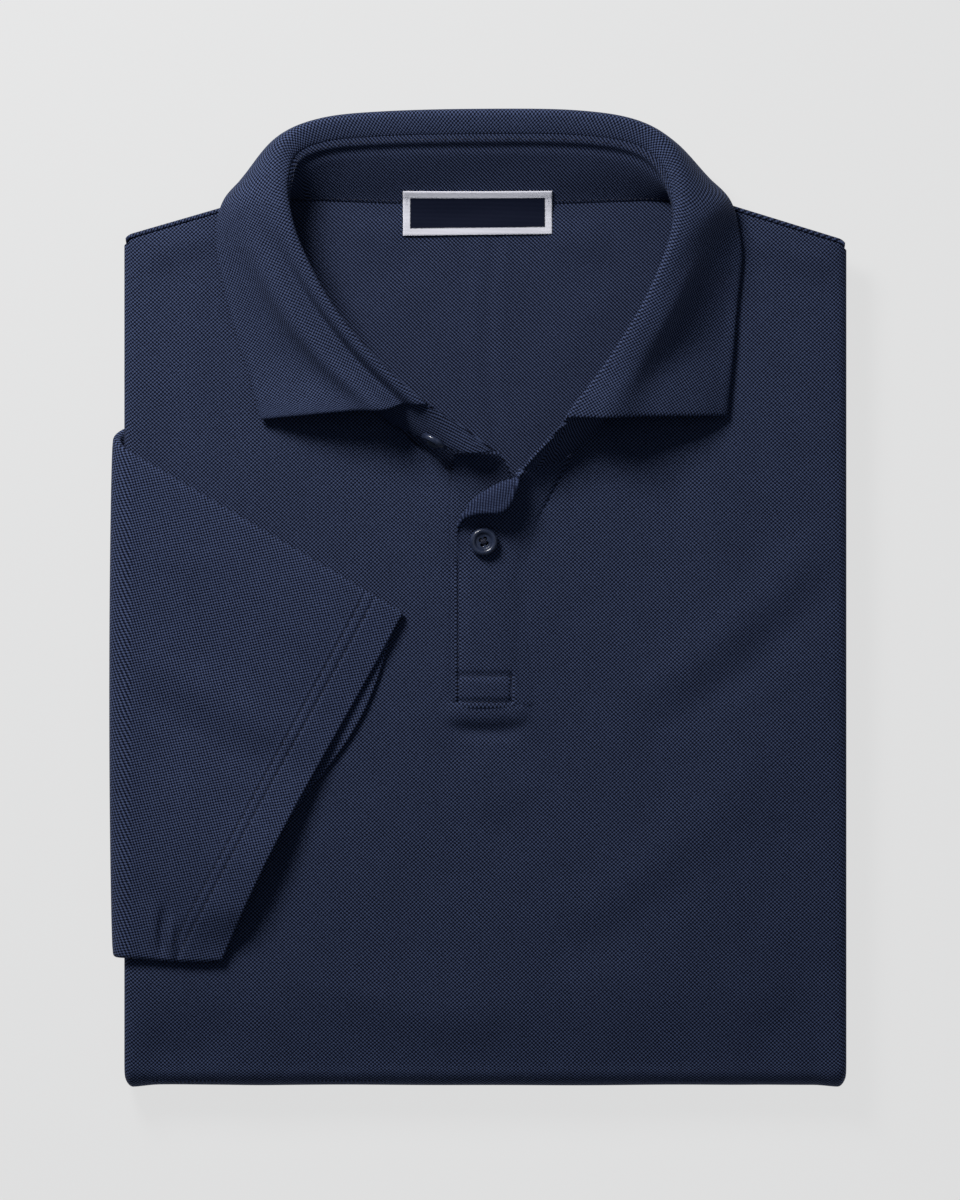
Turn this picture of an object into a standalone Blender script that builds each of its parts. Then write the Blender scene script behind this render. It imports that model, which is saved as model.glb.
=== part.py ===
"""A short-sleeved polo shirt, folded flat and lying face up.

Its sides and one sleeve are folded behind, its tail is turned up behind them, and its other sleeve is
brought round to the front. X runs across the shirt, Y from the tail fold to the collar, and Z up.
Every size is in millimetres; add_solid turns them into metres.
"""

import math

import bpy
import numpy as np

# ---- driving dimensions -------------------------------------------------------------------------
BODY_LEFT = -146.0
BODY_RIGHT = 150.4
BODY_FOOT = -200.7
WALL = 1.3  # thickness of the knitted cloth
SEAM_GAP = 0.3  # clearance between pieces that are sewn or lie together
HALF_STACK = 6.4  # layers in front of, and again behind, the middle of the fold
CREVICE = 2.0  # half the opening between the two halves of the fold
LIP = 16.0  # how far each side roll runs back into the crevice
SHOULDER_SLOPE = 0.29
LEFT_CORNER_Y = 149.4
RIGHT_CORNER_Y = 147.4
CORNER_RADIUS = 3.5
FORWARD_SEAM = 2.1  # the shoulder seam, in front of the shoulder's edge
TAIL_HEM_Y = 137.0
STAND_WALL = 1.5
LEAF_WALL = 1.4
SLEEVE_THICKNESS = 3.4
SLEEVE_HOLLOW = 0.8
CUFF_PEEK = 3.0  # the under layer of the cuff reaches past the upper one
PLACKET_FOOT = -45.0
BUTTON_RADIUS = 5.65
BUTTON_THICKNESS = 2.6
LABEL_WALL = 1.0

# ---- levels that follow from them ---------------------------------------------------------------
MID_Z = HALF_STACK + CREVICE
FRONT_TOP = 2 * MID_Z
ROLL = HALF_STACK / 2
FOLD_Y = BODY_FOOT + MID_Z
INNER_STACK = HALF_STACK - WALL - SEAM_GAP
BACK_TOP = MID_Z + CREVICE + INNER_STACK
BACK_UNDER = BACK_TOP - WALL
NAVY = (0.016, 0.021, 0.052)
NAVY_LIGHT = (0.022, 0.028, 0.065)
NAVY_HIDDEN = (0.013, 0.017, 0.042)
LABEL_NAVY = (0.010, 0.014, 0.036)
BUTTON_NAVY = (0.02, 0.026, 0.06)


# ---- helpers ------------------------------------------------------------------------------------
def material(name, colour, roughness):
    made = bpy.data.materials.new(name)
    made.use_nodes = True
    shader = made.node_tree.nodes["Principled BSDF"]
    shader.inputs["Base Color"].default_value = (*colour, 1.0)
    shader.inputs["Roughness"].default_value = roughness
    shader.inputs["Metallic"].default_value = 0.0
    return made


def add_solid(name, points, faces, cloth):
    """One closed mesh from points in millimetres; it is turned face out if its volume comes out negative."""
    mesh = bpy.data.meshes.new(name)
    mesh.from_pydata((np.asarray(points) / 1000).tolist(), [], [list(map(int, face)) for face in faces])
    mesh.calc_loop_triangles()
    corners = np.array([[mesh.vertices[i].co for i in t.vertices] for t in mesh.loop_triangles])
    if np.linalg.det(corners).sum() < 0:
        mesh.flip_normals()
    mesh.materials.append(cloth)
    mesh.shade_smooth()
    mesh.set_sharp_from_angle(angle=math.radians(40))
    made = bpy.data.objects.new(name, mesh)
    bpy.context.scene.collection.objects.link(made)
    return made


def smooth(rows, count):
    """A Catmull-Rom curve through the rows of a table, read at count evenly spaced places."""
    rows = np.asarray(rows, float)
    last = len(rows) - 1
    t = np.linspace(0, last, count)
    i = np.minimum(t.astype(int), last - 1)
    f = (t - i)[:, None]
    before = rows[np.maximum(i - 1, 0)]
    start = rows[i]
    end = rows[i + 1]
    after = rows[np.minimum(i + 2, last)]
    rise = (end - before) / 2
    fall = (after - start) / 2
    return (
        start * (2 * f**3 - 3 * f**2 + 1)
        + rise * (f**3 - 2 * f**2 + f)
        + end * (3 * f**2 - 2 * f**3)
        + fall * (f**3 - f**2)
    )


def bezier(p0, p1, p2, p3, t):
    """Points at the shares t along a cubic, for one or many sets of control points."""
    t = t[None, :, None]
    p0, p1, p2, p3 = (p[:, None, :] for p in (p0, p1, p2, p3))
    return p0 * (1 - t) ** 3 + 3 * p1 * t * (1 - t) ** 2 + 3 * p2 * t**2 * (1 - t) + p3 * t**3


def unit(v):
    return v / np.maximum(np.linalg.norm(v, axis=-1, keepdims=True), 1e-9)


def grid_normals(grid):
    across = np.gradient(grid, axis=1)
    along = np.gradient(grid, axis=0)
    return unit(np.cross(along, across))


def shell(outer, inner):
    """The closed surface between two grids of equal shape: both faces and the four edges."""
    rows, columns = outer.shape[:2]
    points = np.concatenate([outer.reshape(-1, 3), inner.reshape(-1, 3)])
    index = np.arange(rows * columns).reshape(rows, columns)
    under = index + rows * columns
    faces = []
    for i in range(rows - 1):
        for j in range(columns - 1):
            faces.append((index[i, j], index[i, j + 1], index[i + 1, j + 1], index[i + 1, j]))
            faces.append((under[i, j], under[i + 1, j], under[i + 1, j + 1], under[i, j + 1]))
    rim = [*index[0], *index[1:, -1], *index[-1, -2::-1], *index[-2:0:-1, 0]]
    for a, b in zip(rim, rim[1:] + rim[:1]):
        faces.append((b, a, a + rows * columns, b + rows * columns))
    return points, faces


def wall_of(grid, thickness):
    """A wall of even thickness about a grid of mid points."""
    offset = grid_normals(grid) * thickness / 2
    return shell(grid + offset, grid - offset)


def tube_of(outer, inner):
    """A tube wall between two stacks of closed rings, open at both ends."""
    rings, sides = outer.shape[:2]
    points = np.concatenate([outer.reshape(-1, 3), inner.reshape(-1, 3)])
    index = np.arange(rings * sides).reshape(rings, sides)
    inside = rings * sides
    faces = []
    for j in range(sides):
        k = (j + 1) % sides
        for i in range(rings - 1):
            quad = (index[i, j], index[i, k], index[i + 1, k], index[i + 1, j])
            faces.append(quad)
            faces.append(tuple(v + inside for v in reversed(quad)))
        for i, turn in ((0, 1), (rings - 1, -1)):
            cap = (index[i, j], index[i, j] + inside, index[i, k] + inside, index[i, k])
            faces.append(cap[::turn])
    return points, faces


def stack_of(rings):
    """A solid through horizontal outlines from the bottom to the top, closed by its first and last."""
    sides = len(rings[0])
    points = np.concatenate(rings)
    faces = [tuple(range(sides))[::-1], tuple(range(len(points) - sides, len(points)))]
    for i in range(len(rings) - 1):
        for j in range(sides):
            k = (j + 1) % sides
            a = i * sides
            faces.append((a + j, a + k, a + sides + k, a + sides + j))
    return points, faces


# ---- outline of the folded body -----------------------------------------------------------------
# The seam between body and collar, seen from above, from one shoulder's neck point to the other.
NECKLINE = np.array([
    # x, y
    (-85.5, 164.0),
    (-84.8, 154.0),
    (-82.5, 138.0),
    (-73.0, 114.0),
    (-55.0, 90.0),
    (-35.0, 71.0),
    (-16.0, 55.5),
    (-2.0, 46.0),
    (14.0, 41.0),
    (26.0, 44.5),
    (40.0, 57.0),
    (54.0, 74.0),
    (70.0, 100.0),
    (81.0, 124.0),
    (86.5, 146.0),
    (87.5, 164.0),
])


def shoulder(x):
    """The shoulders' edge: two slopes down to rounded corners, as a function of x."""
    left = LEFT_CORNER_Y + SHOULDER_SLOPE * (x - BODY_LEFT)
    right = RIGHT_CORNER_Y + SHOULDER_SLOPE * 1.06 * (BODY_RIGHT - x)
    into = np.minimum(x - BODY_LEFT, BODY_RIGHT - x).clip(0, CORNER_RADIUS)
    return np.minimum(left, right) - CORNER_RADIUS + np.sqrt(CORNER_RADIUS**2 - (CORNER_RADIUS - into) ** 2)


def front_top(x):
    """The front's upper edge: the forward shoulder seams, and the neckline between them."""
    seam = shoulder(x) - FORWARD_SEAM
    inside = (x >= NECKLINE[0, 0]) & (x <= NECKLINE[-1, 0])
    return np.where(inside, np.interp(x, NECKLINE[:, 0], NECKLINE[:, 1]), seam)


# ---- front --------------------------------------------------------------------------------------
def front_section(offset):
    """x and depth of the front's wall across the body, from one lip round to the other."""
    angles = np.linspace(-math.pi / 2, math.pi / 2, 6)
    radius = ROLL - WALL / 2 + offset
    left = np.stack([BODY_LEFT + ROLL - radius * np.cos(angles), ROLL + radius * np.sin(angles)], 1)
    right = np.stack([BODY_RIGHT - ROLL + radius * np.cos(angles), ROLL + radius * np.sin(angles)], 1)[::-1]
    lip = ROLL - radius
    face_depth = ROLL + radius
    xs = np.concatenate([np.linspace(-134, -92, 4), NECKLINE[:, 0], np.linspace(94, 138, 4)])
    face = np.stack([xs, np.full(len(xs), face_depth)], 1)
    start = [(BODY_LEFT + LIP, lip)]
    end = [(BODY_RIGHT - LIP, lip)]
    return np.concatenate([start, left, face, right, end])


def front_grid(offset):
    section = front_section(offset)
    x, depth = section.T
    top = front_top(x)
    radius = CREVICE + depth
    rows = []
    for share in (0, 0.12, 0.35, 0.7):
        rows.append(np.stack([x, top + (FOLD_Y - top) * share, MID_Z + radius], 1))
    for angle in np.linspace(0, math.pi, 8):
        rows.append(np.stack([x, FOLD_Y - radius * math.sin(angle), MID_Z + radius * math.cos(angle)], 1))
    for share in (0.4, 0.8, 1):
        rows.append(np.stack([x, np.full(len(x), FOLD_Y + (TAIL_HEM_Y - FOLD_Y) * share), MID_Z - radius], 1))
    return np.array(rows)


def make_front(cloth):
    add_solid("front", *shell(front_grid(WALL / 2), front_grid(-WALL / 2)), cloth)


# ---- back ---------------------------------------------------------------------------------------
BACK_FOOT = 20.0
BACK_NECK_Y = 162.6
NECK_HALF = 83.0


def make_back(cloth):
    """Flat under the front, level with the neck seam there, and rolled over each shoulder to the forward seam."""
    x = np.concatenate([
        np.linspace(-142.0, -90, 6),
        [-86.5, -84.5, -82.5],
        np.linspace(-78, 78, 9),
        [83.0, 85.5, 88.0],
        np.linspace(92, 146.4, 6),
    ])
    bend = np.clip((np.abs(x - 1.0) - NECK_HALF) / 3.5, 0.001, 1)
    bend = bend * bend * (3 - 2 * bend)
    radius = 0.8
    arc = math.pi * radius
    lip = FORWARD_SEAM - SEAM_GAP - radius - WALL / 2
    level = (BACK_TOP + BACK_UNDER) / 2
    sag = 1.4 * (1 - ((x - 1) / NECK_HALF) ** 2)
    start = bend * (shoulder(x) - radius - WALL / 2) + (1 - bend) * (BACK_NECK_Y - sag - arc - lip)
    rows = []
    for share in (0, 0.5, 0.85, 1):
        y = BACK_FOOT + (start - BACK_FOOT) * share
        rows.append(np.stack([x, y, np.full(len(x), level)], 1))
    turn = math.pi * bend
    for share in np.linspace(0, 1, 7)[1:]:
        angle = turn * share
        y = start + arc / turn * np.sin(angle)
        z = level + arc / turn * (1 - np.cos(angle))
        rows.append(np.stack([x, y, z], 1))
    end = rows[-1] + np.stack([np.zeros(len(x)), lip * np.cos(turn), lip * np.sin(turn)], 1)
    rows.append(end)
    add_solid("back", *wall_of(np.array(rows), WALL), cloth)


# ---- hidden layers ------------------------------------------------------------------------------
def make_folded_layers(cloth):
    """The layers between front and tail as one solid, its outlines stepped where layers end."""
    inner_left = BODY_LEFT + WALL + 2.5
    inner_right = BODY_RIGHT - WALL - 2.5
    slot_left = BODY_LEFT + LIP + SEAM_GAP
    slot_right = BODY_RIGHT - LIP - SEAM_GAP
    radius = CREVICE + INNER_STACK
    tucked = 1.7  # half the thickness of the sleeve that is folded behind
    lips = CREVICE + WALL + SEAM_GAP
    levels = [
        # height from the middle, left, right, upper edge at the sides, upper edge in the middle
        (-radius, inner_left, inner_right, 135.5, 135.5),
        (-radius + 1.6, inner_left, inner_right, 135.5, 135.5),
        (-radius + 1.61, inner_left, inner_right, 133.5, 133.5),
        (-lips, inner_left, inner_right, 133.5, 133.5),
        (-lips + 0.01, slot_left, slot_right, 132.0, 132.0),
        (-tucked, slot_left, slot_right, 132.0, 132.0),
        (-tucked + 0.01, slot_left, BODY_RIGHT - 2.0, 136.0, 131.0),
        (tucked - 0.01, slot_left, BODY_RIGHT - 2.0, 136.0, 131.0),
        (tucked, slot_left, slot_right, 141.0, 136.0),
        (lips, slot_left, slot_right, 141.0, 136.0),
        (lips + 0.01, inner_left, inner_right, 144.0, 140.0),
        (radius - WALL - SEAM_GAP, inner_left, inner_right, 144.0, 140.0),
        (radius - WALL - SEAM_GAP + 0.01, inner_left, inner_right, BACK_FOOT - 0.4, BACK_FOOT - 0.5),
        (radius, inner_left, inner_right, BACK_FOOT - 0.4, BACK_FOOT - 0.5),
    ]
    rings = []
    for height, left, right, side_top, middle_top in levels:
        foot = FOLD_Y - math.sqrt(max(radius**2 - height**2, 0)) * 0.97
        fold_right = min(right, inner_right) if abs(height) > tucked else slot_right
        corner = 2.0
        outline = [
            (left, foot + corner),
            (left + 0.3 * corner, foot + 0.3 * corner),
            (left + corner, foot),
            (fold_right - corner, foot),
            (fold_right - 0.3 * corner, foot + 0.3 * corner),
            (fold_right, foot + corner),
            (fold_right, FOLD_Y + 3.5),
            (right, FOLD_Y + 4.0),
            (right, side_top),
            (30.0, middle_top),
            (-30.0, middle_top),
            (left, side_top),
        ]
        rings.append(np.array([(x, y, MID_Z + height) for x, y in outline]))
    add_solid("folded_layers", *stack_of(rings), cloth)


# ---- collar -------------------------------------------------------------------------------------
# Stations round the neck, from the button end of the stand to its buttonhole end. The roll is the crest
# where the leaf turns down, the seam is the foot of the stand, and the edge is the leaf's free edge.
ROLL_LINE = [
    # x, y, z of the crest
    (-20.5, 78.5, 34.5),
    (-27.0, 83.0, 36.0),
    (-45.3, 100.2, 37.5),
    (-61.7, 120.7, 38.5),
    (-74.0, 143.3, 38.5),
    (-79.6, 158.5, 38.0),
    (-82.0, 172.5, 37.0),
    (-79.0, 186.0, 36.0),
    (-66.0, 193.5, 35.5),
    (-40.0, 196.5, 35.0),
    (0.0, 197.5, 35.0),
    (40.0, 197.0, 35.0),
    (65.0, 192.5, 35.5),
    (77.5, 182.0, 36.0),
    (82.5, 165.0, 37.0),
    (80.2, 149.4, 38.0),
    (71.5, 128.9, 38.5),
    (61.3, 110.5, 38.5),
    (49.0, 92.0, 37.5),
    (39.5, 79.5, 36.5),
    (34.0, 70.5, 35.0),
]
STAND_FOOT = [
    # x, y, z of the mid wall just clear of the body, and how far it rises straight up before it leans
    (5.5, 61.5, 26.0, 3.0),
    (-9.0, 58.5, 20.0, 6.0),
    (-37.0, 72.5, 17.6, 8.0),
    (-58.0, 93.5, 17.6, 8.0),
    (-78.0, 125.0, 17.6, 8.0),
    (-84.5, 152.0, 17.6, 8.0),
    (-80.0, 163.7, 16.6, 6.0),
    (-70.0, 164.0, 14.8, 2.0),
    (-56.0, 163.4, 14.6, 0.0),
    (-34.0, 162.6, 14.6, 0.0),
    (1.0, 162.2, 14.6, 0.0),
    (36.0, 162.6, 14.6, 0.0),
    (58.0, 163.4, 14.6, 0.0),
    (72.0, 164.0, 14.8, 2.0),
    (81.5, 163.2, 16.6, 6.0),
    (87.0, 149.0, 17.6, 8.0),
    (82.0, 126.0, 17.6, 8.0),
    (71.0, 101.0, 17.6, 8.0),
    (55.0, 75.0, 17.6, 8.0),
    (33.0, 55.0, 19.5, 6.0),
    (18.0, 54.0, 26.0, 3.0),
]
LEAF_EDGE = [
    # x, y, z of the free edge, and how steeply the leaf falls to it: 0 lies flat, 1 hangs straight down
    (-89.6, 73.8, 18.4, 0.0),
    (-93.5, 88.0, 18.3, 0.0),
    (-99.5, 107.0, 18.3, 0.0),
    (-105.2, 129.0, 18.4, 0.1),
    (-107.8, 147.0, 18.6, 0.3),
    (-105.0, 162.0, 18.4, 0.6),
    (-96.5, 172.5, 9.0, 1.0),
    (-82.0, 187.0, 3.0, 1.0),
    (-58.0, 193.5, 1.4, 1.0),
    (-34.0, 195.5, 1.2, 1.0),
    (0.0, 196.5, 1.2, 1.0),
    (34.0, 195.8, 1.2, 1.0),
    (58.0, 193.0, 1.4, 1.0),
    (78.0, 186.0, 3.0, 1.0),
    (92.5, 173.0, 9.0, 1.0),
    (101.6, 163.5, 18.4, 0.7),
    (105.6, 152.0, 18.6, 0.3),
    (107.2, 140.0, 18.4, 0.1),
    (105.4, 120.0, 18.3, 0.0),
    (103.4, 97.0, 18.3, 0.0),
    (101.1, 75.4, 18.4, 0.0),
]
JOIN = 0.82  # share of the stand's rise at which the leaf is sewn to it
COLLAR_SECTIONS = 41


def collar_lines(count):
    """Crest, foot of the stand, and leaf edge, with the foot's rise, the leaf's fall and the way out."""
    roll = smooth(ROLL_LINE, count)
    foot = smooth(STAND_FOOT, count)
    edge = smooth(LEAF_EDGE, count)
    fall = edge[:, 3:].clip(0, 1)
    run = np.gradient(roll, axis=0)
    square = unit(np.stack([run[:, 1], -run[:, 0], np.zeros(count)], 1)) * -1
    level = unit((edge[:, :3] - roll) * (1, 1, 0))
    out = unit(level * (1 - fall) + square * fall)
    return roll, foot[:, :3], foot[:, 3:], edge[:, :3], fall, out


UP = np.array([0, 0, 1.0])


def stand_grid(count, shares):
    """From the foot, leaning over the neck in front and away from it at the back, up to the crest."""
    roll, foot, rise, _, _, out = collar_lines(count)
    low = foot + UP * rise + (roll - foot) * 0.25
    high = roll - out * 3 - UP * 4
    return bezier(foot, low, high, roll, np.asarray(shares))


def make_collar(cloth):
    """The stand up to its seam, and the leaf from there over the crest and down to its free edge."""
    roll, _, _, edge, fall, out = collar_lines(COLLAR_SECTIONS)
    stand_shares = np.linspace(0, JOIN, 7)
    turn_shares = np.linspace(JOIN + 0.085, 0.98, 3)
    rise = stand_grid(COLLAR_SECTIONS, np.append(stand_shares, turn_shares))
    reach = 0.3 * np.linalg.norm(edge - roll, axis=1, keepdims=True)
    over = roll + out * (reach * (1 - fall) + 4.5 * fall)
    down = edge + UP * (4 + 14 * fall) - out * (reach * 1.1 * (1 - fall) - 3.0 * fall)
    turned = bezier(roll, over, down, edge, np.linspace(0, 1, 11))
    grid = np.concatenate([rise, turned], 1)
    normals = grid_normals(grid)
    parts = (
        # name, sections, places across, wall
        ("collar_stand", slice(None), slice(0, 7), STAND_WALL),
        ("collar_leaf", slice(1, -1), slice(7, None), LEAF_WALL),
    )
    for name, sections, across, wall in parts:
        middle = grid[sections, across]
        offset = normals[sections, across] * wall / 2
        add_solid(name, *shell(middle + offset, middle - offset), cloth)


# ---- plackets -----------------------------------------------------------------------------------
UNDER_Z = FRONT_TOP + SEAM_GAP + WALL / 2
UPPER_Z = UNDER_Z + WALL + SEAM_GAP


def make_plackets(cloth):
    """Each strip runs from the box at its foot up to the stand. The upper one turns back like a small lapel."""
    under = [
        # sewn edge x, y, z, then free edge x, y, z
        (-12.0, PLACKET_FOOT, UNDER_Z, 6.0, PLACKET_FOOT, UNDER_Z),
        (-12.0, 0.0, UNDER_Z, 6.0, 0.0, UNDER_Z),
        (-12.0, 26.0, UNDER_Z, 5.0, 26.0, UNDER_Z),
        (-12.0, 40.0, UNDER_Z, 10.0, 40.0, UNDER_Z + 0.4),
        (-11.5, 50.0, UNDER_Z + 0.3, 12.7, 50.5, UNDER_Z + 2.5),
        (-10.5, 56.5, UNDER_Z + 1.2, 5.9, 60.2, 24.4),
    ]
    rows = smooth(under, 19)
    share = np.linspace(0, 1, 5)[None, :, None]
    grid = rows[:, None, :3] * (1 - share) + rows[:, None, 3:] * share
    add_solid("placket_under", *wall_of(grid, WALL), cloth)

    upper = [
        # sewn edge x, y, z, then the bend's x, y, z, then free edge x, y, z
        (16.0, PLACKET_FOOT, UNDER_Z, -5.0, PLACKET_FOOT, UPPER_Z, -10.5, PLACKET_FOOT, UPPER_Z),
        (16.0, -10.0, UNDER_Z, -5.0, -10.0, UPPER_Z, -10.5, -10.0, UPPER_Z),
        (16.0, 10.0, UNDER_Z, -5.0, 13.0, UPPER_Z, -10.5, 14.0, UPPER_Z),
        (17.0, 18.0, UNDER_Z, -6.5, 24.0, UPPER_Z, -10.3, 22.5, UPPER_Z + 0.6),
        (19.5, 25.0, UNDER_Z, -7.0, 32.5, UPPER_Z + 0.3, -8.5, 31.0, UPPER_Z + 4.0),
        (22.5, 32.5, UNDER_Z, -6.0, 42.0, UPPER_Z + 8.0, -2.0, 35.8, UPPER_Z + 8.0),
        (26.0, 38.5, UNDER_Z, 3.0, 48.0, UPPER_Z + 12.0, 7.0, 37.0, UPPER_Z + 9.5),
        (29.5, 45.0, UNDER_Z, 12.0, 49.0, UPPER_Z + 11.0, 13.2, 45.0, UPPER_Z + 9.5),
        (32.5, 52.2, UNDER_Z + 0.6, 17.5, 52.6, UPPER_Z + 7.5, 15.6, 52.0, UPPER_Z + 6.6),
    ]
    rows = smooth(upper, 27)
    sewn, bend, free = rows[:, :3], rows[:, 3:6], rows[:, 6:]
    near = sewn + (bend - sewn) * (0.4, 0.4, 0) + UP * np.clip(bend[:, 2:] - sewn[:, 2:], 0, 2.5) * 1.4
    grid = bezier(sewn, near, bend, free, np.linspace(0, 1, 8))
    add_solid("placket_upper", *wall_of(grid, WALL), cloth)


# ---- sleeve -------------------------------------------------------------------------------------
def make_sleeve(cloth):
    """A flattened tube laid out on the front, rolled round the body's side into the crevice."""
    mid_top = FRONT_TOP + SEAM_GAP + SLEEVE_THICKNESS / 2
    centre_x = BODY_LEFT + ROLL
    centre_z = (mid_top + MID_Z) / 2
    wide = 6.2
    high = mid_top - centre_z
    arc = math.pi * (wide + high) / 2

    def place(p, y, lift):
        """A point p along the cloth from the top of the roll, lift away from its mid surface."""
        angle = np.clip(-p / arc, 0, 1) * math.pi
        x = centre_x - wide * np.sin(angle) + np.maximum(p, 0) - np.minimum(p + arc, 0)
        z = centre_z + high * np.cos(angle)
        return np.stack([x - lift * np.sin(angle), y, z + lift * np.cos(angle)], -1)

    stations = [
        # along the upper fold: p, y, then along the lower fold: p, y
        (-arc - 11.0, 74.0, -arc - 11.0, -146.0),
        (-arc, 72.0, -arc, -146.3),
        (-arc * 0.8, 70.3, -arc * 0.8, -146.4),
        (-arc * 0.6, 68.3, -arc * 0.6, -146.5),
        (-arc * 0.4, 66.0, -arc * 0.4, -146.6),
        (-arc * 0.2, 63.2, -arc * 0.2, -146.7),
        (0.0, 60.5, 0.0, -146.8),
        (12.0, 53.5, 5.0, -147.2),
        (40.0, 37.0, 14.0, -148.0),
        (75.0, 16.5, 24.0, -148.4),
        (97.0, 3.5, 31.5, -148.2),
        (111.4, -5.1, 36.8, -147.8),
    ]
    across = np.linspace(0, 1, 9)
    half = SLEEVE_THICKNESS / 2
    hollow = SLEEVE_HOLLOW / 2
    outer = []
    inner = []
    for k, (p0, y0, p1, y1) in enumerate(stations):
        length = math.hypot(p1 - p0, y1 - y0)
        along = np.array([p1 - p0, y1 - y0]) / length
        peek = CUFF_PEEK * (k == len(stations) - 1) * np.clip(np.sin(math.pi * (across * 1.9 - 0.12)), 0, 1)
        for loops, thick, inset in ((outer, half, half), (inner, hollow, half + 0.9)):
            at = inset + (length - 2 * inset) * across
            end_angle = np.radians([60, 0, -60])
            upper = [(s, thick, 0) for s in at]
            far = [(length - inset + thick * math.cos(a), thick * math.sin(a), 0) for a in end_angle]
            lower = [(s, -thick, q) for s, q in zip(at[::-1], peek[::-1])]
            near = [(inset - thick * math.cos(a), thick * math.sin(a), 0) for a in end_angle[::-1]]
            loop = np.array(upper + far + lower + near)
            p = p0 + along[0] * loop[:, 0] - along[1] * loop[:, 2]
            y = y0 + along[1] * loop[:, 0] + along[0] * loop[:, 2]
            loops.append(place(p, y, loop[:, 1]))
    add_solid("sleeve_right", *tube_of(np.array(outer), np.array(inner)), cloth)


# ---- label --------------------------------------------------------------------------------------
def make_label(cloth):
    """Flat on the back below the neck seam, and bent up against the stand above it."""
    x = np.linspace(-31.6, 29.6, 5)
    tilt = 0.012
    level = BACK_TOP + SEAM_GAP + LABEL_WALL / 2
    rows = [np.stack([x, y + tilt * x, np.full(len(x), level)], 1) for y in (149.7, 154.5, 159.0)]
    shares = np.array([0.07, 0.13, 0.19])
    stand = stand_grid(121, np.append(shares, 0.25))[30:91]
    clear = grid_normals(stand) * (STAND_WALL / 2 + SEAM_GAP + LABEL_WALL / 2)
    for k in range(len(shares)):
        line = (stand + clear)[:, k]
        rows.append(np.stack([x, np.interp(x, line[:, 0], line[:, 1]), np.interp(x, line[:, 0], line[:, 2])], 1))
    add_solid("label", *wall_of(np.array(rows), LABEL_WALL), cloth)


# ---- buttons ------------------------------------------------------------------------------------
def make_button(name, centre, tilt, turn, polish):
    """A round button with a raised rim, a dished middle and four sewing holes."""
    profile = [
        # radius, height
        (0.0, 0.0),
        (BUTTON_RADIUS - 1.0, 0.0),
        (BUTTON_RADIUS, 0.9),
        (BUTTON_RADIUS - 0.1, 1.8),
        (BUTTON_RADIUS - 0.8, BUTTON_THICKNESS),
        (BUTTON_RADIUS - 1.8, BUTTON_THICKNESS - 0.1),
        (BUTTON_RADIUS - 2.6, BUTTON_THICKNESS - 1.0),
        (0.0, BUTTON_THICKNESS - 1.1),
    ]
    sides = 24
    points = [(0.0, 0.0, profile[0][1])]
    for radius, height in profile[1:-1]:
        for k in range(sides):
            angle = 2 * math.pi * k / sides
            points.append((radius * math.cos(angle), radius * math.sin(angle), height))
    points.append((0.0, 0.0, profile[-1][1]))
    faces = []
    rings = len(profile) - 2
    for k in range(sides):
        j = (k + 1) % sides
        faces.append((0, 1 + j, 1 + k))
        for i in range(rings - 1):
            a = 1 + i * sides
            faces.append((a + k, a + j, a + sides + j, a + sides + k))
        a = 1 + (rings - 1) * sides
        faces.append((a + k, a + j, len(points) - 1))
    made = add_solid(name, points, faces, polish)
    for k in range(4):
        angle = math.pi / 4 + k * math.pi / 2
        bpy.ops.mesh.primitive_cylinder_add(
            vertices=12,
            radius=0.0008,
            depth=0.008,
            location=(0.0014 * math.cos(angle), 0.0014 * math.sin(angle), 0.001),
        )
        cutter = bpy.context.object
        cutter.name = f"{name}_hole_{k + 1}"
        cutter.hide_render = True
        cutter.display_type = "WIRE"
        cutter.parent = made
        cut = made.modifiers.new(f"hole_{k + 1}", "BOOLEAN")
        cut.operation = "DIFFERENCE"
        cut.object = cutter
    made.rotation_euler = (math.radians(tilt), 0, math.radians(turn))
    made.location = [v / 1000 for v in centre]


for old in list(bpy.data.objects):
    bpy.data.objects.remove(old)

pique = material("navy cotton pique", NAVY, 0.9)
collar_pique = material("navy cotton pique, collar", NAVY_LIGHT, 0.9)
make_front(pique)
make_back(material("navy cotton pique, inner side", NAVY, 0.92))
make_folded_layers(material("navy cotton pique, hidden layers", NAVY_HIDDEN, 0.95))
make_collar(collar_pique)
make_plackets(pique)
make_sleeve(material("navy cotton pique, sleeve", NAVY_LIGHT, 0.9))
make_label(material("woven label", LABEL_NAVY, 0.7))
plastic = material("navy polyester button", BUTTON_NAVY, 0.3)
make_button("button_placket", (1.5, 23.9, UPPER_Z + WALL / 2 + SEAM_GAP + 0.7), 0, 20, plastic)
make_button("button_collar", (-18.6, 64.3, 27.0), 68, -32, plastic)
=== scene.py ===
import math

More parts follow.
